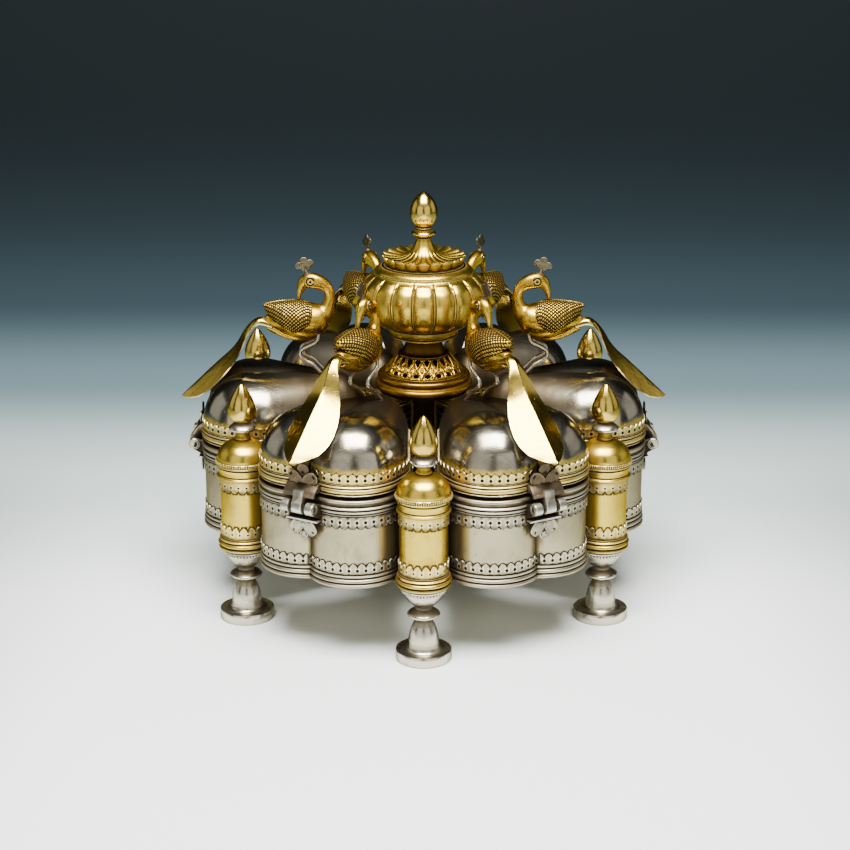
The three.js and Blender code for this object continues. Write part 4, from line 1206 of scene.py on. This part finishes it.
def build_upper_leaf():
    silver = METALS["brown hinge silver"]
    slant = [(99.5, 77.2), (106.7, 76.9), (107.8, 75.4), (108.3, 75.2), (108.7, 75.5), (107.8, 77.2), (105.4, 79.9), (104.4, 80.3),
             (99.5, 80.3)]
    made = hinge_petals("upper", 79.7, 1, 103.9, ((0, 0.0, 9.3, 3.1, 0.0), (50, 0.8, 7.7, 3.1, 0.55), (-50, -0.8, 7.7, 3.1, 0.55)),
                        silver)
    tongue = [(105.4, 78.0), (105.3, 73.0)]
    tongue += [(HINGE_OUT + KNUCKLE * math.cos(t), HINGE_UP + KNUCKLE * math.sin(t)) for t in np.linspace(math.pi, 2 * math.pi, 18)]
    tongue += [(110.6, 72.5), (109.2, 74.6), (108.6, 78.0)]

    def put(a, b, h):
        return np.column_stack([a, h, b])

    made.append(stack("upper plate", slant, ((0.97, -HALF_HINGE), (1.0, 0.25 - HALF_HINGE), (1.0, HALF_HINGE - 0.25),
                                             (0.97, HALF_HINGE)), put, silver, 34))
    made.append(stack("hinge tongue", tongue, ((0.9, -2.5), (1.0, -2.2), (1.0, 2.2), (0.9, 2.5)), put,
                      METALS["hinge silver"], 34))
    return made


def build_pin():
    def put(a, b, h):
        return np.column_stack([a, h, b])

    turn = np.linspace(0, 2 * math.pi, 20, endpoint=False)
    outline = np.column_stack([HINGE_OUT + PIN_RADIUS * np.cos(turn), HINGE_UP + PIN_RADIUS * np.sin(turn)])
    return [stack("hinge pin", outline, ((0.5, -6.9), (0.85, -6.8), (1.0, -6.5), (1.0, 6.5), (0.85, 6.8), (0.5, 6.9)), put,
                  METALS["pin iron"], 34)]


# ---------- peacocks


def rows_at(table, share):
    """Columns of a table at in-between places of its first column."""
    table = np.array(table, float)
    return [np.interp(share, table[:, 0], table[:, k]) for k in range(1, table.shape[1])]


def tube(path, radii, sides=14, flat=1.0):
    """Swept tube with round ends through path points, flattened across by flat."""
    path, radii = np.asarray(path, float), np.asarray(radii, float)
    along = np.gradient(path, axis=0)
    along /= np.linalg.norm(along, axis=1)[:, None]
    level = np.cross(along, [0.0, 1.0, 0.0])
    level /= np.linalg.norm(level, axis=1)[:, None]
    cross = np.cross(along, level)
    turn = np.linspace(0, 2 * math.pi, sides, endpoint=False)
    rings = [p + r * (np.cos(turn)[:, None] * a + flat * np.sin(turn)[:, None] * b)
             for p, r, a, b in zip(path, radii, level, cross)]
    faces = bands(len(rings), sides)
    faces.append(tuple(range(sides))[::-1])
    faces.append(tuple((len(rings) - 1) * sides + j for j in range(sides)))
    return np.concatenate(rings), faces


def bird_form():
    """Body, breast, neck, head and beak, fused to one smooth cast form."""
    body = flow([(43.6, 130.6, 1.5, 1.5), (44.6, 130.0, 4.2, 4.0), (47.0, 129.2, 6.7, 6.2), (51.0, 128.7, 8.1, 7.8),
                 (57.0, 128.6, 8.5, 8.3), (63.0, 129.0, 7.4, 7.2), (68.0, 128.9, 4.9, 5.0), (71.5, 129.0, 2.9, 3.2),
                 (74.0, 129.3, 1.8, 2.2)], 5)
    turn = np.linspace(0, 2 * math.pi, 28, endpoint=False)
    rings = [np.column_stack([np.full(28, x), w * np.cos(turn), z + h * np.sin(turn)]) for x, z, h, w in body]
    faces = bands(len(rings), 28)
    faces += [tuple(range(28))[::-1], tuple((len(rings) - 1) * 28 + j for j in range(28))]
    parts = [(np.concatenate(rings), faces)]
    keel = flow([(50, 0, 122.6, 2.6), (56, 0, 121.4, 2.4), (62, 0, 121.6, 2.2), (68, 0, 123.6, 1.9), (73, 0, 126.2, 1.6)], 5)
    parts.append(tube([p[:3] for p in keel], [p[3] for p in keel], 16, 1.5))
    neck = flow([(49.5, 0, 129.0, 5.6), (46.2, 0, 132.6, 4.7), (44.2, 0, 136.2, 3.1), (43.6, 0, 139.5, 2.6), (44.2, 0, 143.0, 2.5),
                 (46.0, 0, 145.7, 2.85), (49.0, 0, 147.2, 3.45), (52.4, 0, 147.8, 3.85), (55.2, 0, 147.0, 3.1), (56.9, 0, 144.3, 2.0),
                 (57.8, 0, 141.5, 1.3), (58.2, 0, 139.2, 0.9), (58.4, 0, 137.2, 0.7)], 6)
    parts.append(tube([p[:3] for p in neck], [p[3] for p in neck], 18, 0.92))
    points, faces = [], []
    for p, f in parts:
        start = sum(map(len, points))
        points.append(p)
        faces += [[start + i for i in face] for face in f]
    rough = piece("bird form", np.concatenate(points), faces, METALS["bird gilt"], 60)
    fuse = rough.modifiers.new("fuse", "REMESH")
    fuse.mode = "VOXEL"
    fuse.voxel_size = 0.00042
    even = rough.modifiers.new("even", "SMOOTH")
    even.factor, even.iterations = 0.5, 6
    evaluated = rough.evaluated_get(bpy.context.evaluated_depsgraph_get())
    made = dress("bird body", bpy.data.meshes.new_from_object(evaluated), METALS["bird gilt"], 50)
    bpy.data.objects.remove(rough)
    return made


WING = [(48.2, 131.0, 1.0, 3.0), (50.0, 130.6, 5.0, 6.3), (53.0, 130.0, 7.3, 8.2), (57.0, 129.9, 8.5, 9.2), (61.0, 130.3, 8.3, 9.2),
        (65.0, 131.1, 7.2, 8.2), (69.0, 132.6, 5.2, 6.0), (72.0, 134.1, 3.1, 3.7), (74.0, 135.2, 1.4, 1.7), (74.8, 135.8, 0.5, 0.6)]
WING_EDGES = [(48.2, -70, 75), (50, -56, 64), (52, -54, 76), (54, -53, 88), (57, -53, 89), (61, -46, 89), (65, -40, 89),
              (69, -45, 89), (72, -60, 89), (74, -85, 89), (74.8, -90, 90)]


def wing(name, side):
    """Folded wing, cut all over with a diamond lattice."""
    rows, columns, pitch, cut = 132, 100, 1.75, 0.34
    share = np.linspace(48.2, 74.8, rows)
    up, high, wide = rows_at(WING, share)
    low, top = rows_at(WING_EDGES, share)
    grid, inner, shade_and_grime = [], [], []
    for x, z, h, w, a, b in zip(share, up, high, wide, low, top):
        turn = np.radians(np.linspace(a, b, columns))
        y, rise = w * np.cos(turn), h * np.sin(turn)
        round_way = np.concatenate([[0], np.cumsum(np.hypot(np.diff(y), np.diff(rise)))])
        round_way -= round_way[-1]
        to_edge = np.minimum(np.minimum(-round_way, round_way - round_way[0]), min(x - 48.2, 74.8 - x) * 1.2)
        lift = np.clip(to_edge / 0.5, 0, 1) ** 0.6
        u, v = (x * 0.92 + round_way) / pitch, (x * 0.92 - round_way) / pitch
        lozenge = np.minimum(np.abs((u % 1) - 0.5), 1) * 2, np.minimum(np.abs((v % 1) - 0.5), 1) * 2
        raised = cut * (1 - np.maximum(lozenge[0] ** 2.4, lozenge[1] ** 2.4)) * np.clip((to_edge - 0.5) / 0.5, 0, 1)
        out = -0.55 + 0.75 * lift + raised - cut * np.clip((to_edge - 0.5) / 0.5, 0, 1)
        # Grime and painted shade: the lattice grooves are kept dark.
        shade_and_grime.append(np.clip((np.maximum(*lozenge) - 0.52) / 0.24, 0, 0.8) * np.clip((to_edge - 0.3) / 0.4, 0, 1))
        length = np.hypot(np.cos(turn) / max(w, 0.3), np.sin(turn) / max(h, 0.3))
        ny, nz = np.cos(turn) / max(w, 0.3) / length, np.sin(turn) / max(h, 0.3) / length
        grid.append(np.column_stack([np.full(columns, x), side * (y + ny * out), z + rise + nz * out]))
        inner.append(np.column_stack([np.full(columns, x), side * y * 0.84, z + rise * 0.84]))
    faces = bands(rows, columns, around=False)
    back = rows * columns
    border = [*range(columns), *(r * columns + columns - 1 for r in range(1, rows)),
              *((rows - 1) * columns + c for c in range(columns - 2, -1, -1)), *(r * columns for r in range(rows - 2, 0, -1))]
    count = len(border)
    behind = np.concatenate(inner)[border]
    ring = np.concatenate([np.concatenate(grid), behind, behind.mean(0)[None] * (1, 0.5, 1)])
    faces += [(border[i - 1], border[i], back + i, back + (i - 1) % count) for i in range(count)]
    faces += [(back + (i - 1) % count, back + i, back + count) for i in range(count)]
    shade_and_grime = np.concatenate([np.concatenate(shade_and_grime), np.zeros(count + 1)])
    return piece(name, ring, faces, METALS["wing gilt"], 60, shade_and_grime=shade_and_grime)


def build_bird():
    made = [bird_form(), wing("wing left", 1), wing("wing right", -1)]
    for side in (1, -1):
        def on_head(a, b, h, side=side):
            return np.column_stack([a, side * (2.95 + h), b])

        made.append(ring_round(f"eye ring {side}", (52.5, 147.9), 2.25, 0.36, on_head, METALS["wing gilt"], 28, 8))
        # Painted shade: a black ring fills the hollow round the eye.
        made.append(ring_round(f"eye dark {side}", (52.5, 147.9), 1.6, 0.5, on_head, METALS["pin iron"], 24, 6))
        made.append(ring_round(f"eye lid {side}", (52.5, 147.9), 0.95, 0.6, on_head, METALS["wing gilt"], 24, 6))
        points, faces = lathe([(0.5 * math.sin(t), -0.5 * math.cos(t)) for t in np.linspace(0, math.pi, 9)], 16)
        made.append(piece(f"eye ball {side}", points + (52.5, side * 3.4, 147.9), faces, METALS["pin iron"], 60))
    return made


def build_crest():
    """Flat three-lobed leaf on the head, on a short stem."""
    lobes = ((0.1, 5.9, 1.85), (-2.5, 4.4, 1.7), (2.6, 4.0, 1.75), (0.0, 2.9, 2.1), (0.0, 1.2, 1.1))
    outline = []
    for turn in np.linspace(0, 2 * math.pi, 90, endpoint=False):
        way = np.array([math.sin(turn), math.cos(turn)])
        centre = np.array([0.0, 3.0])
        reach = 0.0
        for a, b, radius in lobes:
            gap = np.array([a, b]) - centre
            along = gap @ way
            off = radius ** 2 - (gap @ gap - along ** 2)
            if off > 0:
                reach = max(reach, along + math.sqrt(off))
        outline.append(centre + way * max(reach, 0.8))
    lean = 0.2
    c, s = math.cos(lean), math.sin(lean)

    def put(a, b, h):
        return np.column_stack([54.3 + a * c + b * s, h, 151.3 + b * c - a * s])

    leaf = stack("crest leaf", outline, ((0.2, -0.3), (0.55, -0.42), (0.9, -0.36), (1.0, -0.16), (1.0, 0.16), (0.9, 0.36),
                                         (0.55, 0.42), (0.2, 0.3)), put, METALS["crest silver"], 50)
    points, faces = tube([(53.9, 0, 150.2), (54.2, 0, 151.6), (54.8, 0, 153.6)], [1.5, 1.0, 0.6], 10)
    return [leaf, piece("crest stem", points, faces, METALS["crest silver"], 50)]


def build_legs():
    made = []
    for side in (1, -1):
        path = flow([(49.2, 3.6 * side, 125.5, 0.9), (49.0, 4.2 * side, 122.6, 0.85), (50.0, 4.6 * side, 119.4, 0.8),
                     (53.6, 4.6 * side, 117.3, 0.8), (57.0, 4.6 * side, 115.4, 0.85), (57.6, 4.6 * side, 112.8, 0.95),
                     (55.4, 4.6 * side, 110.6, 1.0), (51.6, 4.6 * side, 108.4, 1.0), (48.6, 4.6 * side, 105.4, 0.95),
                     (46.4, 4.6 * side, 103.0, 0.8), (45.8, 4.6 * side, 102.3, 0.8)], 5)
        points, faces = tube([p[:3] for p in path], [p[3] for p in path], 12)
        made.append(piece(f"leg {side}", points, faces, METALS["wire silver"], 60))
    return made


def build_tail():
    """Folded blade: two facets down to a pointed end, drawn out to a round root at the rump."""
    spine = flow([(69.8, 128.6), (72.6, 129.6), (75.6, 130.3), (78.6, 129.6), (81.7, 127.0), (84.6, 123.2), (87.2, 118.8), (90.4, 114.9),
                  (95.4, 110.4), (101.0, 105.2), (106.8, 99.6), (111.2, 95.4), (113.0, 93.6), (114.4, 92.2)], 5)
    spine = np.array(spine)
    left = np.concatenate([[0], np.cumsum(np.hypot(*np.diff(spine, axis=0).T))])
    left = left[-1] - left
    half, fold = rows_at([(0, 0.15, 0.1), (1.8, 3.2, 1.7), (3.7, 5.3, 2.9), (8, 8.9, 4.6), (13, 10.8, 5.5), (18, 11.4, 5.8),
                          (24, 11.0, 5.4), (29, 10.0, 4.7), (34, 8.3, 3.7), (40, 6.1, 2.5), (45, 4.5, 2.0), (50, 3.2, 2.0),
                          (56, 3.0, 2.5), (62, 3.0, 2.4), (68, 2.4, 2.2)], left)
    along = np.gradient(spine, axis=0)
    along /= np.linalg.norm(along, axis=1)[:, None]
    out = np.column_stack([-along[:, 1], along[:, 0]])
    out *= np.sign(out[:, 1:2])
    rounded = np.clip((left - 42) / 12, 0, 1)
    share = np.linspace(-1, 1, 25)
    rings = []
    for (x, z), (ox, oz), w, d, r in zip(spine, out, half, fold, rounded):
        sharp = np.abs(share)
        drop = d * (sharp * (1 - r) + r * (1 - np.sqrt(np.clip(1 - sharp ** 2, 0, 1))))
        soft = 0.12 * (1 - r) * np.exp(-(share / 0.05) ** 2)
        sheet = 0.6 * (1 - r) + 2.3 * r * np.sqrt(np.clip(1 - share ** 2 * 0.96, 0, 1)) * 1.6
        face = drop + soft
        outer = np.column_stack([x - ox * face, w * share, z - oz * face])
        deep = face + np.minimum(sheet, 0.25 + 0.9 * w)
        inner = np.column_stack([x - ox * deep, w * share * 0.97, z - oz * deep])
        rings.append(np.vstack([outer, inner[::-1]]))
    count = len(rings[0])
    faces = bands(len(rings), count)
    faces += [tuple(range(count))[::-1], tuple((len(rings) - 1) * count + j for j in range(count))]
    return [piece("tail blade", np.concatenate(rings), faces, METALS["bright gilt"], 24)]


# ---------- assembly


def turned_copy(source, name, turn):
    mesh = source.data.copy()
    mesh.transform(Matrix.Rotation(turn, 4, "Z"))
    made = bpy.data.objects.new(name, mesh)
    bpy.context.scene.collection.objects.link(made)
    return made


def place_round(parts, turn_of, body_of, label, nodes=(), split=None):
    """Copies a shaped piece to its six places, on its bodies, in the place of its CAD nodes."""
    source = joined(label, parts) if len(parts) > 1 else parts[0]
    for number in range(1, SECTORS + 1):
        made = turned_copy(source, f"{label}_visual_{number}", turn_of(number))
        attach(made, body_of(number))
        if nodes:
            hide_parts(*[f"{node}_{number}" for node in nodes])
    bpy.data.objects.remove(source)


METALS = {}


def make_metals():
    brown, black = (0.30, 0.25, 0.17), (0.022, 0.015, 0.008)
    # Painted shade: shelter darkens the box walls towards the pillars and clefts.
    METALS["box silver"] = aged_and_shaded_metal("box silver", (0.36, 0.31, 0.195), (0.115, 0.083, 0.038), (0.028, 0.018, 0.008), 0.31,
                                      1.0, 0.42, 45, 0.5, (0.80, 0.77, 0.66), 0.5, 0.9, 0.35, shelter=0.95)
    # Painted shade: inward and shelter darken the domes towards the middle and between the lids.
    METALS["dome silver"] = aged_and_shaded_metal("dome silver", (0.37, 0.335, 0.25), (0.09, 0.067, 0.036), black, 0.18, 1.0, 0.6, 34,
                                       0.4, (0.70, 0.68, 0.60), 0.6, 0.5, 0.5, inward=0.9, gilt_foot=(0.58, 0.42, 0.09),
                                       shelter=0.9)
    METALS["foot silver"] = aged_and_shaded_metal("foot silver", (0.50, 0.46, 0.36), (0.20, 0.155, 0.09), black, 0.25, 0.9, 0.7, 80, 0.6,
                                       (0.78, 0.74, 0.62), 0.5, 0.6, 0.4)
    # Painted shade: a near-black silver that makes the gap between the boxes read dark.
    METALS["silver painted as shade"] = aged_and_shaded_metal("silver painted as shade", (0.035, 0.028, 0.018), (0.02, 0.015, 0.01), black, 0.5, 1.0, 0.6, 60)
    METALS["hinge silver"] = aged_and_shaded_metal("hinge silver", (0.42, 0.375, 0.275), (0.15, 0.11, 0.06), black, 0.33, 1.0, 0.7, 120,
                                        0.5, (0.78, 0.74, 0.62), 0.4, 0.7, 0.3, shelter=0.8)
    METALS["brown hinge silver"] = aged_and_shaded_metal("brown hinge silver", (0.135, 0.095, 0.055), (0.055, 0.035, 0.02), black, 0.36, 1.0,
                                              0.8, 150, 0.25, (0.50, 0.42, 0.30), 0.4, 0.9, 0.5, 0.00012)
    METALS["crest silver"] = aged_and_shaded_metal("crest silver", (0.14, 0.115, 0.07), (0.06, 0.045, 0.025), black, 0.40, 1.0, 0.9, 400,
                                        0.12, (0.66, 0.62, 0.50), 0.4, 0.9, 0.5, 0.0002)
    METALS["wire silver"] = aged_and_shaded_metal("wire silver", (0.50, 0.46, 0.37), brown, black, 0.24, 0.8, 0.6, 130, 0.3,
                                       (0.80, 0.77, 0.68), 0.4, 0.6, 0.5)
    METALS["pin iron"] = aged_and_shaded_metal("pin iron", (0.03, 0.025, 0.02), (0.04, 0.03, 0.02), black, 0.5, 1.0, 0.6, 200, 0.2)
    METALS["gilt"] = aged_and_shaded_metal("gilt", (0.60, 0.42, 0.055), (0.30, 0.17, 0.014), (0.028, 0.014, 0.002), 0.27, 0.85, 0.65, 70,
                                0.4, (0.84, 0.72, 0.36), 0.3, 0.5, 0.5)
    METALS["deep gilt"] = aged_and_shaded_metal("deep gilt", (0.42, 0.235, 0.018), (0.18, 0.083, 0.007), (0.010, 0.005, 0.001), 0.28, 1.0,
                                     0.65, 80, 0.3, (0.76, 0.54, 0.16), 0.3, 0.5, 0.5)
    # Painted shade: a darker copy of the gilt for the vessel's neck.
    METALS["gilt painted as shade"] = aged_and_shaded_metal("gilt painted as shade", (0.19, 0.11, 0.012), (0.075, 0.04, 0.005), (0.01, 0.005, 0.001), 0.30, 1.0,
                                     0.7, 90, 0.4, (0.60, 0.42, 0.12), 0.3, 0.5, 0.5)
    METALS["wing gilt"] = aged_and_shaded_metal("wing gilt", (0.60, 0.40, 0.055), (0.36, 0.20, 0.02), (0.016, 0.008, 0.001), 0.27, 1.0,
                                     0.5, 120, 0.05, (0.84, 0.66, 0.28), 0.3, 0.5, 0.4)
    METALS["bird gilt"] = aged_and_shaded_metal("bird gilt", (0.58, 0.37, 0.035), (0.30, 0.15, 0.012), (0.020, 0.009, 0.001), 0.26, 1.0,
                                     0.5, 120, 0.5, (0.88, 0.80, 0.50), 0.3, 0.5, 0.4)
    METALS["strip gilt"] = aged_and_shaded_metal("strip gilt", (0.62, 0.46, 0.105), (0.32, 0.19, 0.025), (0.022, 0.011, 0.002), 0.30, 1.0,
                                      0.55, 90, 0.5, (0.84, 0.78, 0.56), 0.2, 0.7, 0.3)
    METALS["bright gilt"] = aged_and_shaded_metal("bright gilt", (0.62, 0.45, 0.085), (0.40, 0.24, 0.025), (0.04, 0.02, 0.004), 0.19,
                                       0.9, 0.45, 60, 0.45, (0.88, 0.77, 0.44), 0.4, 0.6, 0.4)


def place_once(parts, name, body, slot, *nodes):
    made = joined(name, parts) if len(parts) > 1 else parts[0]
    made.name = name
    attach(made, body)
    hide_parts(*nodes)


def main():
    place_camera()
    light_the_scene()
    GROUPS.update(tarnish=tarnish_group(), marks=marks_group(), row=row_tree())
    make_metals()
    build_stage()

    nodes = frame["nodes"]
    beside = [nodes[n] for n in ("box_1", "box_3", "lid_1", "lid_3", "pillar_shaft_2", "pillar_shaft_3", "vessel_foot")]
    box, lid, lower, upper, pin = build_box(), build_lid(), build_lower_leaf(), build_upper_leaf(), build_pin()
    bird, crest, legs, tail = build_bird(), build_crest(), build_legs(), build_tail()
    note_recesses(box + lid + lower + upper + pin + bird + crest + legs + tail, beside)

    def own_lid(number):
        return f"lid_{number}"

    def base(number):
        return "base"

    place_round(box, sector_turn, base, "box", ("box",))
    place_round(lid[1:], sector_turn, own_lid, "lid_band")
    place_round(lid[:1], sector_turn, own_lid, "lid_dome", ("lid",))
    place_round(lower, sector_turn, base, "box_hinge", ("box_hinge_leaf",))
    place_round(upper, sector_turn, own_lid, "lid_hinge", ("lid_hinge_leaf",))
    place_round(pin, sector_turn, base, "pin", ("hinge_pin",))
    place_round(bird, sector_turn, own_lid, "bird", ("peacock",))
    place_round(crest, sector_turn, own_lid, "bird_crest")
    place_round(legs, sector_turn, own_lid, "bird_legs")
    place_round(tail, sector_turn, own_lid, "bird_tail", ("peacock_tail",))

    pillar = build_pillar()
    note_recesses([p for parts in pillar.values() for p in parts],
                  [nodes[n] for n in ("box_6", "box_1", "lid_6", "lid_1")])
    place_round(pillar["pillar_shaft"], pillar_turn, base, "pillar_shaft", ("pillar_shaft",))
    place_round(pillar["pillar_knop"], pillar_turn, base, "pillar_knop")
    place_round(pillar["pillar_bud"], pillar_turn, base, "pillar_bud")
    place_round(pillar["pillar_foot"], pillar_turn, base, "pillar_foot", ("pillar_foot",))

    foot, bowl, cover, finial = build_vessel_foot(), build_bowl(), build_vessel_lid(), build_finial()
    note_recesses(foot + bowl + cover + finial, [nodes[f"lid_{k}"] for k in range(1, 7)])
    place_once(foot, "vessel_foot_visual", "base", "gilt", "vessel_foot")
    place_once(bowl, "vessel_bowl_visual", "base", "gilt", "vessel_bowl")
    place_once(cover, "vessel_lid_visual", "vessel_lid", "gilt", "vessel_lid")
    place_once(finial, "vessel_finial_visual", "vessel_lid", "bright_gilt", "vessel_finial")

    # Painted shade: the centre plate and post take the near-black silver, so that the gap between the boxes reads dark.
    for name in ("centre_plate", "centre_post"):
        nodes[name].data.materials.clear()
        nodes[name].data.materials.append(METALS["silver painted as shade"])


main()
